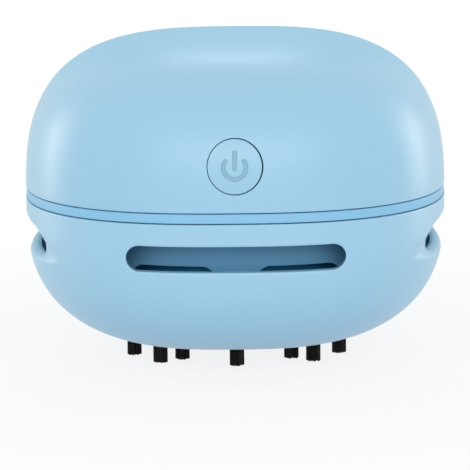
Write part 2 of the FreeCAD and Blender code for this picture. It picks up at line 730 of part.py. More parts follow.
def make_upper_shell():
    """Upper half of the pebble with bosses, button guide, board posts and charging port."""
    shell = form(0).common(layer(sizes.upper_seam, sizes.crown)).cut(form(sizes.wall))
    added = []
    for x, y in corners(sizes.boss_x, sizes.boss_y):
        added.append(post(sizes.boss_radius, x, y, sizes.deck_top, sizes.crown))
    front = -sizes.half_width
    added.append(level_post(sizes.guide_outer, 0, sizes.button_height, front, -sizes.guide_end))
    for side in SIGNS:
        added.append(level_post(sizes.post_radius, side * sizes.switch_screw_x, sizes.button_height,
                                front, -sizes.switch_board_place))
    shell = fuse_all(shell, [piece.common(form(0)) for piece in added])
    cutters = [level_post(sizes.guide_inner, 0, sizes.button_height, front, -sizes.guide_end)]
    for x, y in corners(sizes.boss_x, sizes.boss_y):
        cutters.append(post(sizes.pilot_radius, x, y, sizes.deck_top, sizes.deck_top + sizes.boss_screw))
    pilot_end = sizes.switch_board_place + sizes.switch_screw_depth
    for side in SIGNS:
        cutters.append(level_post(sizes.pilot_radius, side * sizes.switch_screw_x, sizes.button_height,
                                  -pilot_end, -sizes.switch_board_place))
    cutters.append(level_stadium(sizes.socket_width + 2 * sizes.port_gap,
                                 sizes.socket_height + 2 * sizes.port_gap,
                                 sizes.socket_mouth, FAR, sizes.socket_centre))
    return keep_shape("upper_shell", shell.cut(cutters))


def make_trim_ring():
    """Recessed band between the halves, with a flange on the deck and a locating lip below."""
    face = form(sizes.band_recess)
    lower = face.common(layer(sizes.band_bottom, sizes.deck_top))
    lower = lower.cut(square_prism(sizes.deck_width + 2 * sizes.fit_gap, 0, sizes.crown))
    upper = face.common(layer(sizes.deck_top, sizes.band_top))
    upper = upper.cut(square_prism(sizes.deck_width - 2 * sizes.ring_flange, 0, sizes.crown))
    lip_outer = sizes.wall + sizes.fit_gap
    lip = form(lip_outer).cut(form(lip_outer + sizes.spigot_wall))
    lip = lip.common(layer(sizes.band_bottom - sizes.spigot_depth, sizes.band_bottom))
    ring = fuse_all(lower, [upper, lip])
    for x, y in corners(sizes.boss_x, sizes.boss_y):
        ring = ring.cut(post(sizes.boss_radius + sizes.fit_gap, x, y, sizes.deck_top, sizes.crown))
    return keep_shape("trim_ring", ring)


def window_cutter(side, angle):
    """One air window through the skirt, beside a tongue."""
    middle = side * (sizes.tongue_width + sizes.window_width) / 2
    corner = FreeCAD.Vector(middle - sizes.window_width / 2, 0, 0)
    block = Part.makeBox(sizes.window_width, FAR, sizes.window_top, corner)
    block.rotate(ORIGIN, UP, angle)
    return block


def is_window_corner(edge):
    """Whether an edge of the skirt is an upper corner of a window, straight through the wall."""
    box = edge.BoundBox
    level = box.ZLength < LEVEL_MATCH and abs(box.ZMin - sizes.window_top) < LEVEL_MATCH
    return level and edge.Curve.TypeId == "Part::GeomLine"


def make_skirt():
    """Wall behind the exhaust slots, with two round-cornered air windows on each side."""
    skirt = square_prism(sizes.skirt_width, sizes.skirt_bottom, sizes.deck_bottom)
    skirt = skirt.cut(square_prism(sizes.skirt_width - 2 * sizes.skirt_wall, 0, sizes.crown))
    skirt = skirt.cut([window_cutter(side, angle) for angle in SIDES for side in SIGNS])
    window_corners = [edge for edge in skirt.Edges if is_window_corner(edge)]
    return skirt.makeFillet(sizes.window_round, window_corners)


def make_chassis():
    """Deck that carries motor, cell and boards, with a skirt and tongues behind the slots."""
    deck = square_prism(sizes.deck_width, sizes.deck_bottom, sizes.deck_top)
    added = [make_skirt()]
    saddle_top = sizes.cell_height - sizes.cell_radius / 2
    for side in SIGNS:
        corner = FreeCAD.Vector(side * sizes.saddle_place - sizes.saddle_width / 2,
                                sizes.cell_place - sizes.cell_radius, sizes.deck_top)
        added.append(Part.makeBox(sizes.saddle_width, 2 * sizes.cell_radius,
                                  saddle_top - sizes.deck_top, corner))
        added.append(post(sizes.post_radius, side * sizes.charge_screw_x, sizes.charge_screw_y,
                          sizes.deck_top, sizes.charge_board_bottom))
    chassis = fuse_all(deck, added)
    cell_hollow = Part.makeCylinder(sizes.cell_radius, FAR,
                                    FreeCAD.Vector(-FAR / 2, sizes.cell_place, sizes.cell_height),
                                    FreeCAD.Vector(1, 0, 0))
    cutters = [cell_hollow, post(sizes.bush_radius + sizes.fit_gap, 0, 0, 0, sizes.deck_top)]
    for side in SIGNS:
        cutters.append(post(sizes.clear_radius, side * sizes.motor_screw_place, 0, 0, sizes.deck_top))
        cutters.append(post(sizes.pilot_radius, side * sizes.charge_screw_x, sizes.charge_screw_y,
                            sizes.deck_top, sizes.charge_board_bottom))
    places = corners(sizes.boss_x, sizes.boss_y) + corners(sizes.cover_post_place, sizes.cover_post_place)
    for x, y in places:
        cutters.append(post(sizes.clear_radius, x, y, 0, sizes.deck_top))
    return keep_shape("chassis", chassis.cut(cutters))


def make_chassis_screws():
    """Four screws up through the deck into the upper shell."""
    outline = screw_outline("deck_bottom", "deck_top + boss_screw - fit_gap", -1)
    return screw_group("chassis_screws", outline, four_places("boss_x", "boss_y"))


def lug_sector(inner, outer, bottom, top, start, end):
    """Part of a flat ring between two angles in degrees."""
    ring = post(outer, 0, 0, bottom, top).cut(post(inner, 0, 0, bottom, top))
    wedge = Part.makeCylinder(FAR, top - bottom, FreeCAD.Vector(0, 0, bottom), UP, end - start)
    wedge.rotate(ORIGIN, UP, start)
    return ring.common(wedge)


def bayonet_cutters():
    """Level slots that the filter lugs twist in, and the openings that let the lugs in from below."""
    inner = sizes.collar_inner - sizes.slot_skin
    outer = sizes.filter_radius + sizes.lug_reach + sizes.fit_gap
    half_lug = sizes.lug_angle / 2 + sizes.lug_slack
    cutters = []
    for number in range(int(sizes.lug_count)):
        locked = 360.0 * number / sizes.lug_count
        free = locked + sizes.twist_angle
        cutters.append(lug_sector(inner, outer, sizes.lug_bottom - sizes.fit_gap,
                                  sizes.lug_top + sizes.fit_gap, locked - half_lug, free + half_lug))
        cutters.append(lug_sector(inner, outer, 0, sizes.lug_bottom, free - half_lug, free + half_lug))
    return cutters


def make_fan_cover():
    """Disc under the fan with an air eye, a bayonet collar and four posts up to the deck."""
    disc = post(sizes.cover_radius, 0, 0, sizes.collar_bottom, sizes.cover_top)
    disc = disc.cut(post(sizes.collar_inner, 0, 0, 0, sizes.cover_bottom))
    posts = [post(sizes.post_radius, x, y, sizes.cover_bottom, sizes.deck_bottom)
             for x, y in corners(sizes.cover_post_place, sizes.cover_post_place)]
    cutters = [post(sizes.eye_radius, 0, 0, 0, sizes.cover_top)]
    for x, y in corners(sizes.cover_post_place, sizes.cover_post_place):
        cutters.append(post(sizes.pilot_radius, x, y, sizes.cover_top, sizes.deck_bottom))
    return keep_shape("fan_cover", fuse_all(disc, posts).cut(cutters + bayonet_cutters()))


def make_cover_screws():
    """Four screws down through the deck into the fan cover posts."""
    outline = screw_outline("deck_top", "cover_top + fit_gap", 1)
    return screw_group("cover_screws", outline, four_places("cover_post_place", "cover_post_place"))


# ---------------------------------------------------------------- filter

def make_filter_frame():
    """Ring with a ledge, cross bars, a finger rib and three bayonet lugs."""
    body = make_body("filter_frame")
    inner = "filter_radius - filter_rim"
    ledge = "filter_radius - filter_rim - filter_ledge"
    turn_outline(body, "filter_ring",
                 [(ledge, "filter_bottom"), ("filter_radius", "filter_bottom"),
                  ("filter_radius", "filter_top"), (inner, "filter_top"),
                  (inner, "pad_bottom"), (ledge, "pad_bottom")])
    half = "filter_bar / 2"
    reach = "(filter_radius - filter_rim)"
    pad_outline(body, "bar_across", rectangle("-" + reach, reach, "-" + half, half),
                "filter_bottom", "ledge_thickness")
    pad_outline(body, "bar_along", rectangle("-" + half, half, "-" + reach, reach),
                "filter_bottom", "ledge_thickness")
    grip = "filter_radius / 2"
    pad_outline(body, "finger_rib", rectangle("-" + grip, grip, "-" + half, half),
                "filter_bottom - grip_height", "grip_height")
    half_lug = "filter_radius * tan(lug_angle / 2)"
    lug = pad_outline(body, "lug",
                      rectangle("filter_radius - filter_ledge", "filter_radius + lug_reach - fit_gap",
                                "-" + half_lug, half_lug), "lug_bottom", "lug_thickness")
    pattern_round(body, "lugs", lug, "lug_count")
    return body


def make_filter_pad():
    """Round non-woven pad on the ledge of the filter frame."""
    return turned_piece("filter_pad", [("0", "pad_bottom"), ("pad_radius", "pad_bottom"),
                                       ("pad_radius", "pad_bottom + pad_thickness"),
                                       ("0", "pad_bottom + pad_thickness")])


# ---------------------------------------------------------------- fan and motor

def make_impeller():
    """Fan disc and hub on the shaft, with set-back vanes below the disc."""
    body = make_body("impeller")
    turn_outline(body, "fan_disc",
                 [("shaft_radius", "shaft_bottom"), ("hub_radius * %g" % HUB_NOSE, "shaft_bottom"),
                  ("hub_radius", "shaft_bottom + hub_radius * %g" % (1 - HUB_NOSE)),
                  ("hub_radius", "disc_bottom"),
                  ("impeller_radius", "disc_bottom"), ("impeller_radius", "impeller_top"),
                  ("shaft_radius", "impeller_top")])
    half = "vane_thickness / 2"
    outer = "impeller_radius * cos(vane_lean) - vane_thickness"
    tip_shift = "impeller_radius * sin(vane_lean)"
    vane = pad_outline(body, "vane",
                       [("vane_root", "-" + half), (outer, "%s - %s" % (tip_shift, half)),
                        (outer, "%s + %s" % (tip_shift, half)), ("vane_root", half)],
                       "vane_bottom", "vane_height")
    pattern_round(body, "vanes", vane, "vane_count")
    return body


def make_shaft():
    """Motor shaft from the fan hub up through both bushes."""
    return turned_piece("motor_shaft", [("0", "shaft_bottom"), ("shaft_radius", "shaft_bottom"),
                                        ("shaft_radius", "bell_top"), ("0", "bell_top")])


def make_motor_can():
    """Drawn steel can, open at the top, with a bush hole and two screw holes in its end."""
    body = make_body("motor_can")
    turn_outline(body, "can_turned",
                 [("bush_radius", "deck_top"), ("motor_radius", "deck_top"),
                  ("motor_radius", "can_top"), ("can_inner", "can_top"),
                  ("can_inner", "deck_top + can_wall"), ("bush_radius", "deck_top + can_wall")])
    sketch = make_sketch(body, "screw_holes_outline", "XY_Plane", ("0", "0", "deck_top"))
    for side in SIGNS:
        draw_circle(sketch, ("%d * motor_screw_place" % side, "0"), "pilot_radius")
    holes = body.newObject("PartDesign::Pocket", "screw_holes")
    holes.Profile = sketch
    holes.Reversed = True
    holes.setExpression("Length", bound("can_wall"))
    return body


def make_motor_screws():
    """Two screws up through the deck into the motor can."""
    outline = screw_outline("deck_bottom", "deck_top + can_wall + fit_gap", -1)
    places = [("%d * motor_screw_place" % side, "0") for side in SIGNS]
    return screw_group("motor_screws", outline, places)


def make_end_bell():
    """Moulded motor end cap that holds the upper bush, with a lip inside the can."""
    lip = "can_inner - thread_gap"
    return turned_piece("end_bell",
                        [("bush_radius", "can_top"), ("commutator_radius + brush_width", "can_top"),
                         ("commutator_radius + brush_width", "can_top - thread_gap"),
                         ("can_inner - can_wall", "can_top - thread_gap"),
                         ("can_inner - can_wall", "can_top - can_wall"), (lip, "can_top - can_wall"),
                         (lip, "can_top"), ("motor_radius", "can_top"),
                         ("motor_radius", "bell_top - can_wall"),
                         ("motor_radius - can_wall", "bell_top"), ("bush_radius", "bell_top")])


def make_bushes():
    """Two sintered bushes that carry the shaft."""
    turned_piece("lower_bush", band("bush_inner", "bush_radius", "deck_bottom + can_wall",
                                    "deck_bottom + can_wall + bush_length"))
    turned_piece("upper_bush", band("bush_inner", "bush_radius", "can_top", "bell_top"))


def make_magnets():
    """Two curved magnets against the can wall."""
    half_span = sizes.magnet_angle / 2
    top = sizes.magnet_bottom + sizes.magnet_length
    arcs = [lug_sector(sizes.magnet_inner, sizes.can_inner, sizes.magnet_bottom, top,
                       middle - half_span, middle + half_span) for middle in (0, 180)]
    return keep_shape("motor_magnets", Part.makeCompound([arc.Solids[0] for arc in arcs]))


def pole_box(inner, outer, width, bottom, top, angle):
    """Block that runs out from the axis, turned to one rotor pole."""
    block = Part.makeBox(outer - inner, width, top - bottom, FreeCAD.Vector(inner, -width / 2, bottom))
    block.rotate(ORIGIN, UP, angle)
    return block


def make_rotor_core():
    """Three-pole laminated rotor pressed on the shaft."""
    low, high = sizes.core_bottom, sizes.core_top
    centre = post(2 * sizes.shaft_radius, 0, 0, low, high)
    shoe_inner = sizes.rotor_radius - sizes.shoe_thickness
    half_shoe = sizes.shoe_angle / 2
    added = []
    for angle in POLES:
        added.append(pole_box(sizes.shaft_radius, shoe_inner + sizes.thread_gap, sizes.neck_width,
                              low, high, angle))
        added.append(lug_sector(shoe_inner, sizes.rotor_radius, low, high,
                                angle - half_shoe, angle + half_shoe))
    core = fuse_all(centre, added)
    return keep_shape("rotor_core", core.cut(post(sizes.shaft_radius, 0, 0, low, high)))


def make_windings():
    """One copper coil round each pole neck."""
    inner = 2 * sizes.shaft_radius + sizes.coil_build
    half = sizes.neck_width / 2 + sizes.coil_build
    shoe_inner = sizes.rotor_radius - sizes.shoe_thickness
    outer = math.sqrt(shoe_inner ** 2 - half ** 2) - sizes.thread_gap
    coils = []
    for angle in POLES:
        coil = pole_box(inner, outer, 2 * half,
                        sizes.core_bottom - sizes.coil_build, sizes.core_top + sizes.coil_build, angle)
        neck = pole_box(0, sizes.rotor_radius, sizes.neck_width, sizes.core_bottom, sizes.core_top, angle)
        coils.append(coil.cut(neck))
    return keep_shape("rotor_windings", Part.makeCompound(coils))


def make_commutator():
    """Copper commutator on the shaft, under the end bell."""
    return turned_piece("commutator",
                        band("shaft_radius", "commutator_radius", "commutator_bottom",
                             "commutator_bottom + commutator_length"))


def make_brushes():
    """Two brushes that reach from the end bell's lip to the commutator."""
    bottom = sizes.can_top - sizes.can_wall - sizes.brush_width
    arms = []
    outer = math.sqrt((sizes.can_inner - sizes.can_wall) ** 2 - sizes.brush_width ** 2 / 4)
    outer -= sizes.thread_gap
    for angle in (90, 270):
        arm = pole_box(sizes.commutator_radius + sizes.shaft_fit, outer,
                       sizes.brush_width, bottom, sizes.can_top - sizes.can_wall, angle)
        tail = pole_box(outer - sizes.can_wall, outer,
                        sizes.brush_width, bottom, sizes.can_top - sizes.thread_gap, angle)
        arms.append(fuse_all(arm, [tail]))
    return keep_shape("motor_brushes", Part.makeCompound(arms))


def make_terminals():
    """Two solder tabs that stand on the end bell."""
    tabs = []
    for side in SIGNS:
        corner = FreeCAD.Vector(side * sizes.motor_screw_place - sizes.terminal_width / 2,
                                -sizes.can_wall / 2, sizes.bell_top)
        tabs.append(Part.makeBox(sizes.terminal_width, sizes.can_wall, sizes.terminal_height, corner))
    return keep_shape("motor_terminals", Part.makeCompound(tabs))


# ---------------------------------------------------------------- cell, switch and charging

def make_cell():
    """Round lithium cell lying across the unit behind the motor."""
    body = turned_piece("battery_cell",
                        [("0", "-cell_length / 2"), ("cell_radius", "-cell_length / 2"),
                         ("cell_radius", "cell_length / 2"), ("cap_radius", "cell_length / 2"),
                         ("cap_radius", "cell_length / 2 + cap_height"),
                         ("0", "cell_length / 2 + cap_height")])
    set_placement(body, "0", "cell_place", "cell_height", BACK, 90)
    return body


def make_switch_board():
    """Upright circuit board behind the button, held by two screws."""
    board = Part.makeBox(sizes.switch_board_width, sizes.board_thickness, sizes.switch_board_height,
                         FreeCAD.Vector(-sizes.switch_board_width / 2, -sizes.switch_board_place,
                                        sizes.button_height - sizes.switch_board_height / 2))
    for side in SIGNS:
        hole = level_post(sizes.clear_radius, side * sizes.switch_screw_x, sizes.button_height,
                          -sizes.switch_board_place, 0)
        board = board.cut(hole)
    return keep_shape("switch_board", board)


def make_key_switch():
    """Body of the key switch on the front of its board."""
    half = sizes.switch_size / 2
    case = Part.makeBox(sizes.switch_size, sizes.switch_depth, sizes.switch_size,
                        FreeCAD.Vector(-half, -sizes.switch_front, sizes.button_height - half))
    well = level_post(sizes.plunger_radius + sizes.plunger_gap, 0, sizes.button_height,
                      -sizes.switch_front, -sizes.switch_front + 3 * sizes.button_travel)
    return keep_shape("key_switch", case.cut(well))


def make_switch_plunger():
    """Plunger of the key switch, always against the back of the button."""
    plunger = doc.addObject("Part::Cylinder", "switch_plunger")
    plunger.setExpression("Radius", bound("plunger_radius"))
    plunger.setExpression("Height", bound("flange_back - switch_front + button_travel"))
    set_placement(plunger, "0", "-flange_back", "button_height", FreeCAD.Vector(1, 0, 0), -90)
    return keep(plunger, "switch_plunger")


def power_symbol():
    """Open ring and upright bar of the power symbol, as a block that runs along Y."""
    outer = sizes.symbol_radius + sizes.symbol_stroke / 2
    inner = sizes.symbol_radius - sizes.symbol_stroke / 2
    depth = sizes.half_width - sizes.guide_end
    start = 90 + sizes.symbol_opening
    ring = lug_sector(inner, outer, 0, depth, start, start + 360 - 2 * sizes.symbol_opening)
    bar = Part.makeBox(sizes.symbol_stroke, sizes.symbol_bar, depth,
                       FreeCAD.Vector(-sizes.symbol_stroke / 2, -sizes.symbol_stroke, 0))
    symbol = Part.makeCompound([ring, bar])
    symbol.rotate(ORIGIN, FreeCAD.Vector(1, 0, 0), 90)
    symbol.translate(FreeCAD.Vector(0, -sizes.guide_end, sizes.button_height))
    return symbol


def make_button_cap():
    """Round push button whose face follows the shell, with a retaining flange behind."""
    stem = level_post(sizes.button_radius, 0, sizes.button_height, -sizes.half_width, -sizes.flange_back)
    flange = level_post(sizes.button_radius + sizes.flange_width, 0, sizes.button_height,
                        -sizes.flange_front, -sizes.flange_back)
    cap = fuse_all(stem.common(form(0)), [flange])
    engraving = power_symbol().common(form(0).cut(form(sizes.symbol_depth)))
    return keep_shape("button_cap", cap.cut(engraving))


def make_switch_screws():
    """Two screws through the switch board into the posts of the upper shell."""
    body = screw_group("switch_screws",
                       screw_outline("0", "-(switch_screw_depth + board_thickness - fit_gap)", 1),
                       [("%d * switch_screw_x" % side, "0") for side in SIGNS])
    set_placement(body, "0", "board_thickness - switch_board_place", "button_height",
                  FreeCAD.Vector(1, 0, 0), -90)
    return body


def make_charge_board():
    """Level circuit board behind the cell, on two posts of the deck."""
    board = Part.makeBox(sizes.charge_board_width, sizes.charge_board_depth, sizes.board_thickness,
                         FreeCAD.Vector(-sizes.charge_board_width / 2, sizes.charge_board_front,
                                        sizes.charge_board_bottom))
    holes = [post(sizes.clear_radius, side * sizes.charge_screw_x, sizes.charge_screw_y,
                  0, sizes.crown) for side in SIGNS]
    return keep_shape("charge_board", board.cut(holes))


def make_charge_screws():
    """Two screws down through the charging board into the deck posts."""
    outline = screw_outline("charge_board_top", "deck_top + fit_gap", 1)
    return screw_group("charge_screws", outline,
                       [("%d * charge_screw_x" % side, "charge_screw_y") for side in SIGNS])


def make_charge_socket():
    """Round-ended charging socket sleeve with its contact tongue."""
    mouth = sizes.socket_mouth
    back = mouth - sizes.socket_depth
    sleeve = level_stadium(sizes.socket_width, sizes.socket_height, back, mouth, sizes.socket_centre)
    inner_width = sizes.socket_width - 2 * sizes.socket_wall
    inner_height = sizes.socket_height - 2 * sizes.socket_wall
    floor = back + sizes.socket_wall
    cavity = level_stadium(inner_width, inner_height, floor, mouth, sizes.socket_centre)
    tongue = Part.makeBox(sizes.tongue_plate_width, mouth - floor - sizes.socket_setback,
                          sizes.tongue_plate_height,
                          FreeCAD.Vector(-sizes.tongue_plate_width / 2, floor,
                                         sizes.socket_centre - sizes.tongue_plate_height / 2))
    return keep_shape("charge_socket", fuse_all(sleeve.cut(cavity), [tongue]))


# ---------------------------------------------------------------- build and write

def check_pieces():
    """Stop if any object failed or any sub-part has no sound shape."""
    for thing in doc.Objects:
        if "Invalid" in thing.State or "Error" in thing.State:
            raise RuntimeError("%s did not compute: %s" % (thing.Label, thing.State))
    for piece in pieces:
        if piece.Shape.isNull() or not piece.Shape.isValid() or not piece.Shape.Solids:
            raise RuntimeError("%s has no sound shape" % piece.Label)


def write_pieces():
    """Write one STEP file for each sub-part."""
    os.makedirs("parts", exist_ok=True)
    for piece in pieces:
        piece.Shape.exportStep(os.path.join("parts", piece.Label + ".step"))
        print("%-18s %2d solid(s) %9.1f mm3" % (piece.Label, len(piece.Shape.Solids), piece.Shape.Volume))


make_lower_shell()
brush_tufts = make_tufts()
doc.recompute()
make_base_plate(brush_tufts)
make_base_screws()
make_dust_tray()
make_cup_seal()
make_upper_shell()
make_trim_ring()
make_chassis()
make_chassis_screws()
make_fan_cover()
make_cover_screws()
make_filter_frame()
make_filter_pad()
make_impeller()
make_shaft()
make_motor_can()
make_motor_screws()
make_end_bell()
make_bushes()
make_magnets()
make_rotor_core()
make_windings()
make_commutator()
make_brushes()
make_terminals()
make_cell()
make_switch_board()
make_key_switch()
make_switch_plunger()
make_button_cap()
make_switch_screws()
make_charge_board()
make_charge_screws()
make_charge_socket()
doc.recompute()
check_pieces()
write_pieces()
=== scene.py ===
"""Looks of the desktop mini vacuum cleaner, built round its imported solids.

Lengths are in millimetres until a mesh is made. Heights are from the table, the front is towards -Y.
"""

import logging
import math
from dataclasses import dataclass, field, replace
from enum import Enum
from functools import cache

import bmesh
import bpy
import numpy as np
from bpy.types import Material, NodeSocket, NodeTree, Object
from mathutils import Matrix, Vector


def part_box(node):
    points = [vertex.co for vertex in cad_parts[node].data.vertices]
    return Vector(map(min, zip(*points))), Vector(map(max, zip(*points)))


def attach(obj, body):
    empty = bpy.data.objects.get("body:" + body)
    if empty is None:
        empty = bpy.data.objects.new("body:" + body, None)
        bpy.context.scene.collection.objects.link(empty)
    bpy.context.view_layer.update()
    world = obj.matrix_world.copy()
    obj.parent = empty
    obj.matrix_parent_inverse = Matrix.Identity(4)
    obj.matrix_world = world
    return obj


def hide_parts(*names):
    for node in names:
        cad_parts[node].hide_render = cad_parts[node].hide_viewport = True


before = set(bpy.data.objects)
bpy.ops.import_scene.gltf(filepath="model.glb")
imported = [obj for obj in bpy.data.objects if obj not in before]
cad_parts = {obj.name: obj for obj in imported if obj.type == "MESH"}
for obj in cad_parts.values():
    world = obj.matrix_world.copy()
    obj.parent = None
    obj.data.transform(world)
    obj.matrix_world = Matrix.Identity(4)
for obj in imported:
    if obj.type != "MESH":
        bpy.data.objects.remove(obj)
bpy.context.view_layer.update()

log = logging.getLogger("desk_vacuum")

MM = 0.001                # metres in a millimetre
SIDE_STEPS = 64           # faces along one side of a level ring of the casing
RISE_STEPS = 32           # faces up a side of the casing, beside an opening
WELD = 2e-6               # points this close, in metres, become one
SHARP_ANGLE = math.radians(38)
HALVINGS = 50             # steps of the search for a height
TINY = 1e-12              # keeps a divisor off 0
EDGE_STEPS = 4            # faces round a rounded edge
CROWN_RINGS = 16          # rings from the sides in to the net of the crown
CROWN_NET = 0.45          # size of that net, as a share of the crown
END_PULL = 1.6            # how early the points of a long ring turn onto its round ends
FACTOR, FLOAT_A, FLOAT_B, COLOUR_A, COLOUR_B = 0, 2, 3, 6, 7      # inputs of a Mix node
MIXED_COLOUR = 2                                                  # its output for colours


# ---- colour, nodes and objects

def linear(hex_colour: str) -> tuple[float, float, float, float]:
    """Turn an sRGB colour into the linear one that a shader takes.

    Args:
        hex_colour: six hex digits.

    Returns:
        Red, green, blue and an opacity of 1.
    """
    parts = [int(hex_colour[i:i + 2], 16) / 255 for i in (0, 2, 4)]
    red, green, blue = [p / 12.92 if p <= 0.04045 else ((p + 0.055) / 1.055) ** 2.4 for p in parts]
    return red, green, blue, 1.0


def add_node(tree: NodeTree, kind: str, settings: dict | None = None,
             values: dict | None = None, links: dict | None = None) -> bpy.types.Node:
    """Add one shader node with its settings, socket values and links.

    Args:
        tree: node tree that gets the node.
        kind: class name of the node, without its "ShaderNode" start.
        settings: attributes of the node by name.
        values: values of input sockets by name or number.
        links: output sockets that feed input sockets, by name or number.

    Returns:
        The new node.
    """
    node = tree.nodes.new("ShaderNode" + kind)
    for name, value in (settings or {}).items():
        setattr(node, name, value)
    for name, value in (values or {}).items():
        node.inputs[name].default_value = value
    for name, output in (links or {}).items():
        tree.links.new(output, node.inputs[name])
    return node


def clear_tree(holder: bpy.types.ID) -> NodeTree:
    """Turn on the nodes of a material or a world and empty its tree.

    Args:
        holder: material or world.

    Returns:
        Its empty node tree.
    """
    holder.use_nodes = True
    holder.node_tree.nodes.clear()
    return holder.node_tree


def add_object(name: str, data: bpy.types.ID) -> Object:
    """Add an object to the scene.

    Args:
        name: name of the object.
        data: its mesh, lamp or camera data.

    Returns:
        The new object.
    """
    made = bpy.data.objects.new(name, data)
    bpy.context.scene.collection.objects.link(made)
    return made


# ---- finishes

class Pattern(Enum):
    """Kind of fine relief that a process leaves on a surface."""

    GRAIN = "grain"          # even speckle: spark-eroded mould, sinter, plating
    STREAKS = "streaks"      # drawn or brushed lines along one axis
    PORES = "pores"          # small round cells of a foam
    FIBRES = "fibres"        # crossing fibres of a felt
    BANDS = "bands"          # even bands: stacked sheets or turns of wire


# Node that draws each pattern: its kind, settings, values, output and what its scale is divided by.
PATTERN_NODES = {
    Pattern.GRAIN: ("TexNoise", {}, {"Detail": 2.0, "Roughness": 0.6}, "Fac", 1.0),
    Pattern.STREAKS: ("TexNoise", {}, {"Detail": 5.0, "Roughness": 0.6}, "Fac", 1.0),
    Pattern.FIBRES: ("TexNoise", {}, {"Detail": 4.0, "Roughness": 0.7, "Distortion": 2.5}, "Fac", 1.0),
    Pattern.PORES: ("TexVoronoi", {"feature": "F1"}, {}, "Distance", 1.0),
    Pattern.BANDS: ("TexWave", {"wave_type": "BANDS", "bands_direction": "Z"},
                    {"Distortion": 0.4, "Detail": 1.0, "Detail Scale": 0.5}, "Fac", math.pi)}


@dataclass(frozen=True)
class Finish:
    """One material: what it is, how it was made, and what that gives the eye."""

    name: str
    colour: str
    second_colour: str
    roughness: float
    pattern: Pattern = Pattern.GRAIN
    pattern_size: float = 0.25           # real size of the pattern, in millimetres
    relief: float = 0.004                # height of the pattern, in millimetres
    patch_size: float = 14.0             # size of the faint colour patches, in millimetres
    roughness_swing: float = 0.05
    metallic: float = 0.0
    ior: float = 1.5
    shine: float = 0.5                   # specular level, 0.5 is plain for the ior
    see_through: float = 0.0
    coat: float = 0.0
    sheen: float = 0.0
    stretch: tuple[float, float, float] = (1.0, 1.0, 1.0)
    edge_round: float = 0.0              # soft edges on plain solids, in millimetres
    pattern_tint: float = 0.0            # how much the pattern shows in the colour, 0 to 1
    pattern_span: float = 0.5            # half the part of the pattern's range that takes the tint

    def relief_node(self, tree: NodeTree, place: NodeSocket) -> NodeSocket:
        """Add the nodes that draw the pattern.

        Args:
            tree: node tree of the material.
            place: output socket with the place on the object.

        Returns:
            Output socket with the pattern, from 0 to 1.
        """
        kind, settings, values, output, divisor = PATTERN_NODES[self.pattern]
        spread = add_node(tree, "Mapping", values={"Scale": self.stretch}, links={"Vector": place})
        scale = {"Scale": 1.0 / (self.pattern_size * MM) / divisor}
        drawn = add_node(tree, kind, settings, scale | values, {"Vector": spread.outputs["Vector"]})
        return drawn.outputs[output]

    @cache
    def material(self) -> Material:
        """Make the Blender material, once: patched colour, swing in the gloss, pattern in relief.

        Returns:
            The material.
        """
        material = bpy.data.materials.new(self.name)
        tree = clear_tree(material)
        place = add_node(tree, "TexCoord").outputs["Object"]
        patches = add_node(tree, "TexNoise", None,
                           {"Scale": 1.0 / (self.patch_size * MM), "Detail": 2.0, "Roughness": 0.5},
                           {"Vector": place}).outputs["Fac"]
        colour = add_node(tree, "Mix", {"data_type": "RGBA"},
                          {COLOUR_A: linear(self.colour), COLOUR_B: linear(self.second_colour)},
                          {FACTOR: patches}).outputs[MIXED_COLOUR]
        relief = self.relief_node(tree, place)
        if self.pattern_tint:
            share = add_node(tree, "MapRange", None,
                             {"From Min": 0.5 - self.pattern_span, "From Max": 0.5 + self.pattern_span,
                              "To Min": 1.0 - self.pattern_tint, "To Max": 1.0}, {"Value": relief})
            tinted = add_node(tree, "Mix", {"data_type": "RGBA", "blend_type": "MULTIPLY"}, {FACTOR: 1.0},
                              {COLOUR_A: colour, COLOUR_B: share.outputs["Result"]})
            colour = tinted.outputs[MIXED_COLOUR]
        gloss = add_node(tree, "MapRange", None,
                         {"To Min": self.roughness - self.roughness_swing,
                          "To Max": self.roughness + self.roughness_swing}, {"Value": patches})
        links = {"Height": relief}
        if self.edge_round:
            soft = add_node(tree, "Bevel", {"samples": 4}, {"Radius": self.edge_round * MM})
            links["Normal"] = soft.outputs["Normal"]
        bump = add_node(tree, "Bump", None, {"Strength": 1.0, "Distance": self.relief * MM}, links)
        shader = add_node(tree, "BsdfPrincipled", None,
                          {"Metallic": self.metallic, "IOR": self.ior, "Specular IOR Level": self.shine,
                           "Transmission Weight": self.see_through, "Coat Weight": self.coat,
                           "Sheen Weight": self.sheen},
                          {"Base Color": colour, "Roughness": gloss.outputs["Result"],
                           "Normal": bump.outputs["Normal"]})
        add_node(tree, "OutputMaterial", None, None, {"Surface": shader.outputs["BSDF"]})
        return material


# ABS, injection moulded in a finely spark-eroded mould: a satin skin with broad soft highlights.
# The real grain is about 0.05 mm, too fine to show, so it is drawn at 0.3 mm.
CASING_ABS = Finish("moulded_abs_satin_sky", "9ccbe6", "9ecce6", 0.38, shine=0.52, pattern_size=0.30,
                    relief=0.0012, patch_size=30.0, roughness_swing=0.02, ior=1.53)
# The dust cup's ABS, painted a touch paler as painted light: it stands in for the brighter light on the lower
# half.
CUP_ABS = replace(CASING_ABS, name="moulded_abs_satin_cup", colour="a0cee8", second_colour="a2cfe8")
# The same ABS in a deeper tone and a little duller, as a band from its own mould.
BAND_ABS = replace(CASING_ABS, name="moulded_abs_satin_band", colour="8fc7e8", second_colour="92c9e9",
                   roughness=0.45, shine=0.15, relief=0.001, patch_size=20.0)
# The push button, from the casing's ABS, a shade deeper and a little smoother.
BUTTON_ABS = replace(CASING_ABS, name="moulded_abs_satin_button", colour="9ac9e4", second_colour="9ccae4",
                     roughness=0.34, shine=0.5, relief=0.001, patch_size=12.0)
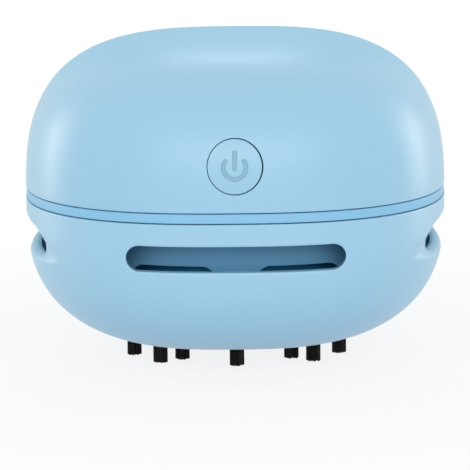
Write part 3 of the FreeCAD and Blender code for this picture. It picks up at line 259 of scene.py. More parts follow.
# Floor of the engraved symbol: left matt by the engraver, and painted a shade darker as painted shade in the
# engraving.
ENGRAVED_ABS = Finish("engraved_abs_symbol", "8fb9ce", "92bcd0", 0.55, pattern_size=0.25, relief=0.002,
                      patch_size=8.0, ior=1.53)
# Inner ABS mouldings, straight from an unpolished mould: matt, with visible flow. Their deeper blue is
# painted shade: the same plastic as the casing, darkened for the shaded inside.
INNER_ABS = Finish("moulded_abs_matt_inner", "74b2d6", "6daace", 0.60, pattern_size=0.5, relief=0.006,
                   patch_size=10.0, ior=1.53, shine=0.3, edge_round=0.15)
# Smoked polypropylene, moulded thin: slightly cloudy, with a soft waxy gloss. Its smoky blue is painted
# shade, tinted so that the inside seen through the slots reads as deep blue shade.
TRAY_PP = Finish("moulded_polypropylene_smoke", "6fa3c4", "78aac9", 0.38, pattern_size=0.6, relief=0.004,
                 patch_size=9.0, see_through=0.15, ior=1.49, edge_round=0.15)
# Nylon 6 monofilament, drawn and cut: near black, with lighter grey strands among the dark ones that are
# painted glints.
BRISTLE_NYLON = Finish("drawn_nylon_bristle", "0c0b0b", "544d48", 0.60, Pattern.STREAKS, pattern_size=0.7,
                       relief=0.01, patch_size=0.9, roughness_swing=0.10, ior=1.53, shine=0.08,
                       stretch=(1.0, 1.0, 0.03), pattern_tint=0.97, pattern_span=0.10)
# The fan cover's ABS, from a mould like the inner ones. Its deeper blue is painted shade for the dark inside
# seen through the slots.
FAN_ABS = replace(INNER_ABS, name="moulded_abs_matt_deep", colour="2992bf", second_colour="2b8eba", shine=0.2)
# Polyurethane foam, skived to a ring: dark, dull and full of small cells.
SEAL_FOAM = Finish("skived_polyurethane_foam", "2a2c2f", "34373a", 0.95, Pattern.PORES, pattern_size=0.35,
                   relief=0.08, patch_size=4.0, pattern_tint=0.5)
# Polyester felt, needled and pressed: off-white with crossing fibres.
FILTER_FELT = Finish("needled_polyester_felt", "e3e2dc", "ecebe6", 0.95, Pattern.FIBRES, pattern_size=0.8,
                     relief=0.10, patch_size=3.0, sheen=0.3, pattern_tint=0.35)
# Carbon steel screws, zinc plated and passivated: pale grey with a slight blue cast.
ZINC_STEEL = Finish("zinc_plated_steel_screw", "b9bdc2", "a9aeb6", 0.34, pattern_size=0.12, relief=0.003,
                    patch_size=1.5, roughness_swing=0.08, metallic=1.0, edge_round=0.06)
# Deep-drawn steel, nickel plated: warm grey with faint draw lines up the wall.
NICKEL_STEEL = Finish("drawn_nickel_plated_steel", "c4c2bc", "b6b4ae", 0.28, Pattern.STREAKS,
                      pattern_size=0.4, relief=0.002, patch_size=6.0, metallic=1.0,
                      stretch=(1.0, 1.0, 0.05), edge_round=0.12)
# Electrical steel, stamped and stacked: the 0.5 mm sheets show as bands round the rotor.
STACKED_STEEL = Finish("stacked_electrical_steel", "6f7174", "85878a", 0.45, Pattern.BANDS,
                       pattern_size=0.5, relief=0.02, patch_size=3.0, metallic=1.0, pattern_tint=0.3)
# Glass-filled nylon 66, moulded: black with a dull, faintly mottled skin.
BLACK_NYLON = Finish("moulded_nylon_66_black", "1f2124", "2a2c2f", 0.52, pattern_size=0.3, relief=0.006,
                     patch_size=2.5, ior=1.53, edge_round=0.1)
# Tin bronze, pressed from powder and sintered: brown gold with small open pores.
SINTERED_BRONZE = Finish("sintered_tin_bronze", "9c7448", "86623c", 0.45, Pattern.PORES, pattern_size=0.2,
                         relief=0.01, patch_size=1.5, metallic=1.0, pattern_tint=0.3)
# Brass strip, rolled and stamped: yellow, with fine rolling lines.
ROLLED_BRASS = Finish("rolled_brass_strip", "c9a25a", "b8924e", 0.30, Pattern.STREAKS, pattern_size=0.2,
                      relief=0.002, patch_size=2.0, metallic=1.0, stretch=(1.0, 0.1, 1.0), edge_round=0.06)
# Ferrite, pressed, sintered and ground: charcoal, matt and slightly gritty.
GROUND_FERRITE = Finish("ground_ferrite_magnet", "35363a", "2b2c2f", 0.70, pattern_size=0.15, relief=0.01,
                        patch_size=3.0, edge_round=0.1)
# Copper wire, enamelled and wound: turns of 0.25 mm wire show as bands.
ENAMELLED_COPPER = Finish("enamelled_copper_wire", "b5652f", "9c5226", 0.28, Pattern.BANDS,
                          pattern_size=0.25, relief=0.06, patch_size=2.0, metallic=1.0, coat=0.6,
                          pattern_tint=0.35)
# PVC sleeve, heat shrunk over the cell: glossy blue, with slight shrink waves.
SHRINK_SLEEVE = Finish("heat_shrunk_pvc_sleeve", "2f66ae", "386fb6", 0.24, pattern_size=3.0, relief=0.05,
                       patch_size=8.0, ior=1.54, edge_round=0.5)
# Glass-epoxy laminate under green solder resist: the 0.5 mm glass weave shows faintly.
RESIST_LAMINATE = Finish("solder_resist_glass_epoxy", "1c6a42", "21774b", 0.30, Pattern.BANDS,
                         pattern_size=0.5, relief=0.006, patch_size=4.0, coat=0.4, pattern_tint=0.12)


# ---- form of the casing

@dataclass(frozen=True)
class Form:
    """Rounded-square pebble that the outside of the casing follows."""

    half_width: float = 43.0
    crown_rise: float = 34.5
    belly_drop: float = 28.9
    crown_power: float = 3.24
    belly_power: float = 2.69
    waist_power: float = 2.5
    pole_power: float = 3.0
    equator: float = 32.8

    def section(self, height: np.ndarray, inset: float | np.ndarray) -> tuple[np.ndarray, np.ndarray]:
        """Level section of the form.

        Args:
            height: heights of the sections.
            inset: how far the surface is moved inwards.

        Returns:
            Half width of each section and the power of its rounded square.
        """
        rise = np.asarray(height, float) - self.equator
        upper = rise >= 0
        reach = np.where(upper, self.crown_rise, self.belly_drop) - inset
        power = np.where(upper, self.crown_power, self.belly_power)
        share = np.clip(np.abs(rise) / reach, 0.0, 1.0)
        width = (self.half_width - inset) * (1.0 - share ** power) ** (1.0 / power)
        level = width ** 2 / np.maximum(width ** 2 + rise ** 2, TINY)
        return width, self.pole_power + (self.waist_power - self.pole_power) * level

    def depth(self, across: np.ndarray, height: np.ndarray, inset: float | np.ndarray = 0.0) -> np.ndarray:
        """Distance from the middle to a side surface, at a place across the side and a height."""
        width, power = self.section(height, inset)
        return np.maximum(width ** power - np.abs(across) ** power, 0.0) ** (1.0 / power)

    def corner(self, height: np.ndarray, inset: float | np.ndarray = 0.0) -> np.ndarray:
        """Distance from the middle of a side to the diagonal where the next side begins."""
        width, power = self.section(height, inset)
        return width / 2.0 ** (1.0 / power)

    def height(self, x: np.ndarray, y: np.ndarray, inset: float, upper: bool) -> np.ndarray:
        """Height of the surface over places, found by halving.

        Args:
            x: places across.
            y: places along.
            inset: how far the surface is moved inwards.
            upper: whether the upper surface is wanted, and not the lower.

        Returns:
            Height over each place.
        """
        way = 1.0 if upper else -1.0
        low = np.zeros_like(x)
        high = np.full_like(x, (self.crown_rise if upper else self.belly_drop) - inset)
        for _ in range(HALVINGS):
            middle = (low + high) / 2
            width, power = self.section(self.equator + way * middle, inset)
            inside = np.abs(x) ** power + np.abs(y) ** power < width ** power
            low = np.where(inside, middle, low)
            high = np.where(inside, high, middle)
        return self.equator + way * low


FORM = Form()


def points_at(x: float | np.ndarray, y: float | np.ndarray, z: float | np.ndarray) -> np.ndarray:
    """Points with the given places, any of which may be one number for all."""
    return np.stack(np.broadcast_arrays(x, y, z), axis=-1)


def turned(points: np.ndarray, quarter: int) -> np.ndarray:
    """Move points of the front side to another side.

    Args:
        points: places on the front side.
        quarter: quarter turns, first to the right side.

    Returns:
        The moved points.
    """
    x, y, z = points[..., 0], points[..., 1], points[..., 2]
    for _ in range(quarter):
        x, y = -y, x
    return points_at(x, y, z)


def level_ring(height: float, inset: float) -> np.ndarray:
    """Ring round the form at one height.

    Args:
        height: height of the ring.
        inset: how far the surface is moved inwards.

    Returns:
        Points of the ring, from the front's left end.
    """
    share = np.linspace(-1, 1, SIDE_STEPS, endpoint=False)
    level = np.full_like(share, height)
    x = share * FORM.corner(level, inset)
    front = points_at(x, -FORM.depth(x, level, inset), level)
    return np.concatenate([turned(front, quarter) for quarter in range(4)])


WIDEST_RING = level_ring(FORM.equator, 0.0)
RING_ANGLES = np.arctan2(WIDEST_RING[:, 1], WIDEST_RING[:, 0])


def square_ring(half: float, height: float) -> np.ndarray:
    """Level ring with the rounded-square plan of the widest line and a given half width."""
    ring = WIDEST_RING * (half / FORM.half_width)
    return points_at(ring[:, 0], ring[:, 1], height)


def oval_ring(length: float, width: float, height: float) -> np.ndarray:
    """Level elliptical ring whose points face those of the casing's rings."""
    return points_at(length / 2 * np.cos(RING_ANGLES), width / 2 * np.sin(RING_ANGLES), height)


def stadium_ring(length: float, width: float, height: float) -> np.ndarray:
    """Level round-ended ring whose points face those of the casing's rings."""
    middle = (length - width) / 2 * np.clip(END_PULL * np.cos(RING_ANGLES), -1, 1)
    return oval_ring(width, width, height) + points_at(middle, 0.0, 0.0)


def on_surface(ring: np.ndarray, inset: float, upper: bool) -> np.ndarray:
    """The ring with its points moved up or down onto the form."""
    return points_at(ring[:, 0], ring[:, 1], FORM.height(ring[:, 0], ring[:, 1], inset, upper))


def edge_arc(radius: float) -> list[tuple[float, float]]:
    """Quarter round of an edge, as pairs: how far it has left one face and how far the other is."""
    angles = [math.pi / 2 * i / EDGE_STEPS for i in range(EDGE_STEPS + 1)]
    return [(radius * (1 - math.cos(a)), radius * (1 - math.sin(a))) for a in angles]


# ---- mesh making

class MeshPiece:
    """A mesh under construction."""

    def __init__(self) -> None:
        """Start with no points and no faces."""
        self.blocks: list[np.ndarray] = []
        self.total = 0
        self.faces: list[tuple[int, ...]] = []
        self.finishes: list[int] = []

    def add(self, points: np.ndarray) -> np.ndarray:
        """Add points to the mesh.

        Args:
            points: places, in any layout.

        Returns:
            Numbers of the points, in the same layout.
        """
        numbers = np.arange(self.total, self.total + points[..., 0].size).reshape(points.shape[:-1])
        self.blocks.append(points.reshape(-1, 3))
        self.total += numbers.size
        return numbers

    def sheet(self, grid: np.ndarray, closed: bool = False, finish: np.ndarray | None = None) -> None:
        """Add the faces between neighbours of a two-way layout of points.

        Args:
            grid: point numbers, rows by columns.
            closed: whether the last column meets the first.
            finish: number of the finish of each face, rows by columns; the first finish if left out.
        """
        if closed:
            grid = np.concatenate([grid, grid[:, :1]], axis=1)
        quads = np.stack([grid[:-1, :-1], grid[:-1, 1:], grid[1:, 1:], grid[1:, :-1]], axis=-1)
        self.faces.extend(map(tuple, quads.reshape(-1, 4).tolist()))
        picked = np.zeros(quads.shape[:2], int) if finish is None else finish
        self.finishes.extend(picked.ravel().tolist())

    def rings(self, rings: list[np.ndarray]) -> np.ndarray:
        """Add closed rings and the faces between them.

        Args:
            rings: rings with the same number of points.

        Returns:
            Numbers of the points, ring by ring.
        """
        grid = self.add(np.stack(rings))
        self.sheet(grid, closed=True)
        return grid

    def lid(self, ring: np.ndarray) -> None:
        """Close a ring of point numbers with one face."""
        self.faces.append(tuple(ring.tolist()))
        self.finishes.append(0)

    def build(self, name: str, body: str, slot: str, nodes: tuple[str, ...],
              dress: tuple[Finish, ...]) -> None:
        """Make the Blender object.

        Args:
            name: name of the piece.
            body: moving body that it rides on.
            slot: the record's material slot, which is not used.
            nodes: names of the solids it stands for.
            dress: its finishes, in the order of the finish numbers.
        """
        mesh = bpy.data.meshes.new(name)
        mesh.from_pydata((np.concatenate(self.blocks) * MM).tolist(), [], self.faces)
        mesh.polygons.foreach_set("material_index", self.finishes)
        work = bmesh.new()
        work.from_mesh(mesh)
        bmesh.ops.remove_doubles(work, verts=work.verts, dist=WELD)
        bmesh.ops.recalc_face_normals(work, faces=work.faces)
        work.to_mesh(mesh)
        work.free()
        mesh.shade_smooth()
        mesh.set_sharp_from_angle(angle=SHARP_ANGLE)
        for finish in dress:
            mesh.materials.append(finish.material())
        piece = add_object(name, mesh)
        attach(piece, body)
        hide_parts(*nodes)
        log.info("%s: %d points, %d faces, rides on %s", name, len(mesh.vertices), len(mesh.polygons), body)


@dataclass(frozen=True)
class SideOpening:
    """Round-ended hole through one side of the casing, wide along the side."""

    length: float
    height: float
    centre: float
    lip: float                    # radius of its soft outer edge
    lip_sweep: float = 90.0       # degrees of that round
    quarter: int = 0              # quarter turns from the front
    dish_length: float = 0.0      # how far a shallow, tapering dish runs out past each end
    dish_rise: float = 0.0        # how far it runs up above the hole
    dish_depth: float = 0.0
    dish_power: float = 1.5       # over 1, the dish is shallow at its rim
    dish_point: float = -0.4      # height of its tip, as a share from the middle to the edge
    surface_steps: int = 16
    surface_power: float = 1.5    # over 1, the rings gather round the hole
    lip_steps: int = 6
    end_part: int = 6             # each eighth turn at the ends takes this part of a side's steps

    def outline(self, spread: float, dish: float = 0.0) -> tuple[np.ndarray, np.ndarray]:
        """Outline of the hole, seen square to its side: bottom, right, top, left.

        Args:
            spread: how far the outline is moved outwards.
            dish: share of the dish that is drawn, from the hole at 0 to its rim at 1.

        Returns:
            Places across the side, and heights.
        """
        reach = (self.length - self.height) / 2
        bend = SIDE_STEPS // (self.end_part if reach > 0 else 2)
        run = SIDE_STEPS - 2 * bend
        eighth = np.linspace(0, 45, bend, endpoint=False)
        quarter = np.linspace(0, 90, RISE_STEPS, endpoint=False)
        angles = np.radians(np.concatenate([
            225 + eighth, np.full(run, 270.0), 270 + eighth, 315 + quarter,
            45 + eighth, np.full(run, 90.0), 90 + eighth, 135 + quarter]))
        ends = np.full(bend, reach)
        middle = np.linspace(-reach, reach, run, endpoint=False)
        offsets = np.concatenate([-ends, middle, ends, np.full(RISE_STEPS, reach),
                                  ends, -middle, -ends, np.full(RISE_STEPS, -reach)])
        radius = self.height / 2 + spread
        off_point = np.sin(angles) - self.dish_point
        taper = off_point / (1 - np.sign(off_point) * self.dish_point)
        drawn = np.sign(np.cos(angles)) * dish * self.dish_length * (1 - taper ** 2)
        raised = dish * self.dish_rise * np.maximum(np.sin(angles), 0.0) ** 2
        return offsets + radius * np.cos(angles) + drawn, self.centre + radius * np.sin(angles) + raised

    def ring(self, spread: float, push: float, dish: float) -> np.ndarray:
        """Outline on the surface, moved outwards by spread and pushed in behind the surface."""
        across, height = self.outline(spread, dish)
        return turned(points_at(across, push - FORM.depth(across, height), height), self.quarter)

    def deep_ring(self, spread: float, place: float, inset: float) -> np.ndarray:
        """Outline at one distance from the middle, but not outside the surface moved in by inset."""
        x, z = self.outline(spread)
        return turned(points_at(x, -np.minimum(FORM.depth(x, z, inset), place), z), self.quarter)

    def surface_rings(self, low: float, high: float, inset: float, spread: float,
                      dish: float = 0.0) -> list[np.ndarray]:
        """Rings from the hole out to the border of its side.

        Args:
            low: height of the lower border.
            high: height of the upper border.
            inset: how far the surface is moved inwards.
            spread: how far outside the outline the first ring lies.
            dish: share of the dish in the first ring.

        Returns:
            The rings, the first round the hole and the last along the border.
        """
        share = np.concatenate([np.linspace(-1, 1, SIDE_STEPS, endpoint=False), np.ones(RISE_STEPS),
                                np.linspace(1, -1, SIDE_STEPS, endpoint=False), -np.ones(RISE_STEPS)])
        border = np.concatenate([np.full(SIDE_STEPS, low),
                                 np.linspace(low, high, RISE_STEPS, endpoint=False),
                                 np.full(SIDE_STEPS, high),
                                 np.linspace(high, low, RISE_STEPS, endpoint=False)])
        across, height = self.outline(spread, dish)
        far = share * FORM.corner(border, inset)
        rings = []
        for step in range(self.surface_steps + 1):
            blend = (step / self.surface_steps) ** self.surface_power
            x = across + (far - across) * blend
            z = height + (border - height) * blend
            rings.append(turned(points_at(x, -FORM.depth(x, z, inset), z), self.quarter))
        return rings

    @property
    def lip_reach(self) -> float:
        """How far outside the hole its soft edge begins."""
        return self.lip * math.sin(math.radians(self.lip_sweep))

    def lip_rings(self) -> list[np.ndarray]:
        """Rings round the soft outer edge and down the dish.

        Returns:
            The rings, from the surface into the hole.
        """
        rings = []
        for share in np.linspace(0, 1, self.lip_steps + 1):
            angle = math.radians(self.lip_sweep * share)
            push = self.lip * (1 - math.cos(angle)) + self.dish_depth * share ** self.dish_power
            rings.append(self.ring(self.lip_reach - self.lip * math.sin(angle), push, 1 - share))
        return rings

    def side(self, piece: MeshPiece, outer: tuple[float, float], inner: tuple[float, float], wall: float,
             tube: float = 0.0, tube_end: float = 0.0) -> None:
        """Add the whole side of the casing round the hole: outside, soft edge and inside.

        Args:
            piece: mesh that gets the side.
            outer: heights of the lower and upper border outside.
            inner: heights of the lower and upper border inside.
            wall: thickness of the casing.
            tube: thickness of a tube behind the hole, or 0 for none.
            tube_end: distance of its end from the middle.
        """
        outside = self.surface_rings(*outer, 0.0, self.lip_reach, 1.0)
        inside = self.surface_rings(*inner, wall, tube)
        guide = [self.deep_ring(0.0, tube_end, 0.0), self.deep_ring(tube, tube_end, wall)] if tube else []
        piece.rings(outside[::-1] + self.lip_rings()[1:] + guide + inside)


def plain_side(piece: MeshPiece, quarter: int, low: float, high: float, inset: float) -> None:
    """Add one side of the casing without a hole.

    Args:
        piece: mesh that gets the side.
        quarter: quarter turns from the front.
        low: height of the lower border.
        high: height of the upper border.
        inset: how far the surface is moved inwards.
    """
    share = np.linspace(-1, 1, SIDE_STEPS + 1)[None, :]
    height = np.linspace(low, high, RISE_STEPS + 1)[:, None] + 0 * share
    x = share * FORM.corner(height, inset)
    grid = points_at(x, -FORM.depth(x, height, inset), height)
    piece.sheet(piece.add(turned(grid, quarter)))


def seam_rim(piece: MeshPiece, seam: float, way: int, edge: float, wall: float) -> None:
    """Add the rounded edge at a seam and its flat. The way is 1 for a casing above it, -1 for one below."""
    rings = [level_ring(seam + way * away, leave) for leave, away in edge_arc(edge)]
    piece.rings(rings + [level_ring(seam, wall)])


def crown(piece: MeshPiece, height: float, inset: float) -> None:
    """Close the top of the casing above a height: shrinking rings, then a square net in the middle.

    Args:
        piece: mesh that gets the crown.
        height: height of the ring that the crown starts from.
        inset: how far the surface is moved inwards.
    """
    base = level_ring(height, inset)
    rings = [on_surface(base * share, inset, True) for share in np.linspace(1.0, CROWN_NET, CROWN_RINGS)]
    piece.rings(rings)
    last = rings[-1]
    count = SIDE_STEPS
    loop = np.concatenate([last, last[:1]])
    front, right = loop[:count + 1], loop[count:2 * count + 1]
    back, left = loop[2 * count:3 * count + 1][::-1], loop[3 * count:][::-1]
    u = np.linspace(0, 1, count + 1)[None, :, None]
    v = np.linspace(0, 1, count + 1)[:, None, None]
    net = (1 - v) * front[None] + v * back[None] + (1 - u) * left[:, None] + u * right[:, None]
    net = net - ((1 - u) * (1 - v) * front[0] + u * (1 - v) * front[-1]
                 + (1 - u) * v * back[0] + u * v * back[-1])
    net[..., 2] = FORM.height(net[..., 0], net[..., 1], inset, True)
    piece.sheet(piece.add(net))


# ---- casing

@dataclass
class DustCup:
    """Lower half of the casing, with its exhaust slots and the recess of the brush plate."""

    slot: SideOpening = SideOpening(length=42.8, height=5.2, centre=28.25, lip=0.6, lip_sweep=50.0)
    side_slot: SideOpening = SideOpening(length=40.4, height=4.1, centre=27.45, lip=1.5, lip_sweep=75.0,
                                         dish_length=9.2, dish_rise=1.5, dish_depth=1.4)
    seam: float = 35.18
    seam_edge: float = 0.10
    wall: float = 1.8
    side_foot: float = 12.0
    recess_length: float = 51.2
    recess_width: float = 31.2
    recess_top: float = 9.0
    seat_length: float = 55.0
    seat_width: float = 35.0
    seat_top: float = 10.6
    mouth_length: float = 18.0
    mouth_width: float = 9.0
    underside_steps: int = 20

    def belly(self, length: float, width: float, inset: float) -> list[np.ndarray]:
        """Rings from the foot of the sides to an oval in the underside.

        Args:
            length: length of the oval.
            width: width of the oval.
            inset: how far the surface is moved inwards.

        Returns:
            The rings, inwards.
        """
        start = level_ring(self.side_foot, inset)
        end = oval_ring(length, width, self.side_foot)
        steps = np.linspace(0, 1, self.underside_steps + 1)
        return [on_surface(start + (end - start) * step, inset, False) for step in steps]

    def underside(self, piece: MeshPiece) -> None:
        """Add the belly, the recess, the mouth and the floor, as one run of rings.

        Args:
            piece: mesh that gets them.
        """
        recess, seat = (self.recess_length, self.recess_width), (self.seat_length, self.seat_width)
        mouth = (self.mouth_length, self.mouth_width)
        run = [oval_ring(*recess, self.recess_top), stadium_ring(*mouth, self.recess_top),
               stadium_ring(*mouth, self.seat_top), oval_ring(*seat, self.seat_top)]
        piece.rings(self.belly(*recess, 0.0) + run + self.belly(*seat, self.wall)[::-1])

    def build(self) -> None:
        """Make the lower half of the casing."""
        piece = MeshPiece()
        outer, inner = (self.side_foot, self.seam - self.seam_edge), (self.side_foot, self.seam)
        for quarter, slot in enumerate((self.slot, self.side_slot) * 2):
            replace(slot, quarter=quarter).side(piece, outer, inner, self.wall)
        seam_rim(piece, self.seam, -1, self.seam_edge, self.wall)
        self.underside(piece)
        piece.build("dust_cup_casing", "dust_cup", "shell_blue", ("lower_shell",), (CUP_ABS,))


@dataclass
class UpperCasing:
    """Upper half of the casing, with the guide of the button and the opening for charging."""

    button_hole: SideOpening = SideOpening(length=10.9, height=10.9, centre=46.4, lip=0.10)
    port: SideOpening = SideOpening(length=9.5, height=3.8, centre=42.8, lip=0.35, quarter=2)
    seam: float = 37.47
    seam_edge: float = 0.10
    wall: float = 1.8
    side_top: float = 60.0
    guide_wall: float = 1.3
    guide_end: float = 38.4
    boss_radius: float = 3.0
    boss_x: float = 28.5
    boss_y: float = 11.0
    boss_foot: float = 36.2
    boss_pilot: float = 8.0
    post_radius: float = 2.4
    post_x: float = 9.6
    post_end: float = 33.0
    post_pilot: float = 6.0
    pilot_radius: float = 1.12
    root_depth: float = 0.3       # how far the posts start inside the wall
    post_faces: int = 32

    def post(self, piece: MeshPiece, place: tuple[float, float], radius: float, end: float,
             pilot: float, upright: bool) -> None:
        """Add a round post with a pilot hole for a screw.

        Args:
            piece: mesh that gets the post.
            place: middle of an upright post seen from above, or of a level one seen from the front.
            radius: radius of the post.
            end: height of its foot, or its distance from the middle.
            pilot: depth of the pilot hole.
            upright: whether it hangs from the crown, and not from the front.
        """
        turn = np.linspace(0, 2 * math.pi, self.post_faces, endpoint=False)
        inset = self.wall - self.root_depth

        def ring(size: float, level: float | None) -> np.ndarray:
            """Ring round the post.

            Args:
                size: radius of the ring.
                level: its height or distance from the middle, or None for one in the wall.

            Returns:
                Points of the ring.
            """
            first, second = place[0] + size * np.cos(turn), place[1] + size * np.sin(turn)
            if upright:
                height = FORM.height(first, second, inset, True) if level is None else level
                return points_at(first, second, height)
            depth = FORM.depth(first, second, inset) if level is None else level
            return points_at(first, -depth, second)

        numbers = piece.rings([ring(radius, None), ring(radius, end), ring(self.pilot_radius, end),
                               ring(self.pilot_radius, end + pilot)])
        piece.lid(numbers[0][::-1])
        piece.lid(numbers[-1])

    def posts(self, piece: MeshPiece) -> None:
        """Add the four bosses of the deck screws and the two posts of the switch board.

        Args:
            piece: mesh that gets them.
        """
        for side in (-1, 1):
            for end in (-1, 1):
                self.post(piece, (side * self.boss_x, end * self.boss_y), self.boss_radius,
                          self.boss_foot, self.boss_pilot, True)
            self.post(piece, (side * self.post_x, self.button_hole.centre), self.post_radius,
                      self.post_end, self.post_pilot, False)

    def build(self) -> None:
        """Make the upper half of the casing."""
        piece = MeshPiece()
        outer, inner = (self.seam + self.seam_edge, self.side_top), (self.seam, self.side_top)
        self.button_hole.side(piece, outer, inner, self.wall, self.guide_wall, self.guide_end)
        self.port.side(piece, outer, inner, self.wall)
        for quarter in (1, 3):
            plain_side(piece, quarter, *outer, 0.0)
            plain_side(piece, quarter, *inner, self.wall)
        seam_rim(piece, self.seam, 1, self.seam_edge, self.wall)
        crown(piece, self.side_top, 0.0)
        crown(piece, self.side_top, self.wall)
        self.posts(piece)
        piece.build("upper_casing", "upper_unit", "shell_blue", ("upper_shell",), (CASING_ABS,))


@dataclass
class TrimBand:
    """Recessed band between the halves, with its flange on the deck and its lip below."""

    bottom: float = 35.42
    top: float = 37.23
    recess: float = 0.12
    edge: float = 0.10
    deck_top: float = 36.2
    deck_half: float = 38.3
    flange_half: float = 34.4
    lip_outer: float = 2.1
    lip_inner: float = 3.3
    lip_foot: float = 33.25

    def build(self) -> None:
        """Make the band as one closed run of rings."""
        lower = [level_ring(self.bottom + lift, self.recess + leave) for leave, lift in edge_arc(self.edge)]
        upper = [level_ring(self.top - drop, self.recess + leave) for leave, drop in edge_arc(self.edge)]
        rings = [level_ring(self.bottom, self.lip_outer)] + lower[::-1] + upper
        rings += [square_ring(self.flange_half, self.top), square_ring(self.flange_half, self.deck_top),
                  square_ring(self.deck_half, self.deck_top), square_ring(self.deck_half, self.bottom),
                  level_ring(self.bottom, self.lip_inner), level_ring(self.lip_foot, self.lip_inner),
                  level_ring(self.lip_foot, self.lip_outer), level_ring(self.bottom, self.lip_outer)]
        piece = MeshPiece()
        piece.rings(rings)
        piece.build("trim_band", "upper_unit", "band_blue", ("trim_ring",), (BAND_ABS,))


@dataclass
class PushButton:
    """Round push button whose face follows the casing, engraved with a power symbol."""

    radius: float = 5.25
    centre: float = 46.4
    play: float = 0.07            # how far it sits to the left in its hole
    edge: float = 0.10
    flange_radius: float = 6.2
    flange_front: float = 38.1
    flange_back: float = 37.1
    arc_radius: float = 2.17
    arc_drop: float = 0.2
    stroke: float = 0.78
    opening: float = 55.0
    bar_low: float = -0.38
    bar_high: float = 2.65
    engraving: float = 0.30
    ramp: float = 0.14
    net_steps: int = 168
    engraved_from: float = 0.45   # share of the depth from which a face takes the engraved finish

    def symbol_distance(self, x: np.ndarray, z: np.ndarray) -> np.ndarray:
        """Distance from places on the face to the edge of the symbol.

        Args:
            x: places across, from the middle of the button.
            z: places up from it.

        Returns:
            The distances, less than 0 inside the symbol.
        """
        bar = np.hypot(x, z - np.clip(z, self.bar_low, self.bar_high))
        up = z + self.arc_drop
        half_gap = math.radians(self.opening)
        off_top = np.abs(np.arctan2(x, up))
        end_x, end_z = self.arc_radius * math.sin(half_gap), self.arc_radius * math.cos(half_gap)
        along = np.abs(np.hypot(x, up) - self.arc_radius)
        to_end = np.hypot(np.abs(x) - end_x, up - end_z)
        arc = np.where(off_top > half_gap, along, to_end)
        return np.minimum(bar, arc) - self.stroke / 2

    def face(self, piece: MeshPiece) -> np.ndarray:
        """Add the face, as a square net bent to a disc.

        Args:
            piece: mesh that gets the face.

        Returns:
            Points of its border.
        """
        steps = np.linspace(-1, 1, self.net_steps + 1)
        u, v = np.meshgrid(steps, steps)
        reach = self.radius - self.edge
        x, z = reach * u * np.sqrt(1 - v ** 2 / 2), reach * v * np.sqrt(1 - u ** 2 / 2)
        share = np.clip(0.5 - self.symbol_distance(x, z) / self.ramp, 0, 1)
        sunk = share * share * (3 - 2 * share)
        height = self.centre + z
        grid = points_at(x - self.play, self.engraving * sunk - FORM.depth(x, height), height)
        cells = (sunk[:-1, :-1] + sunk[1:, 1:] + sunk[:-1, 1:] + sunk[1:, :-1]) / 4
        # Faces deep in the engraving take the darker finish: painted shade in the symbol.
        piece.sheet(piece.add(grid), finish=(cells > self.engraved_from).astype(int))
        return np.concatenate([grid[0, :-1], grid[:-1, -1], grid[-1, :0:-1], grid[:0:-1, 0]])

    def build(self) -> None:
        """Make the button: face, soft edge, stem and retaining flange."""
        piece = MeshPiece()
        border = self.face(piece)
        way = border - [-self.play, 0, self.centre]
        way = way[:, [0, 2]] / np.hypot(way[:, 0], way[:, 2])[:, None]

        def ring(radius: float, push: float) -> np.ndarray:
            """Round ring on the surface, pushed in behind it."""
            x, z = radius * way[:, 0], self.centre + radius * way[:, 1]
            return points_at(x - self.play, push - FORM.depth(x, z), z)

        def level(radius: float, place: float) -> np.ndarray:
            """Round ring at one distance from the middle."""
            return points_at(radius * way[:, 0] - self.play, -place, self.centre + radius * way[:, 1])

        rings = [ring(self.radius - short, push) for push, short in edge_arc(self.edge)]
        rings += [level(self.radius, self.flange_front), level(self.flange_radius, self.flange_front),
                  level(self.flange_radius, self.flange_back)]
        numbers = piece.rings(rings)
        piece.lid(numbers[-1])
        piece.build("push_button", "button", "button_blue", ("button_cap",), (BUTTON_ABS, ENGRAVED_ABS))


# ---- bristles

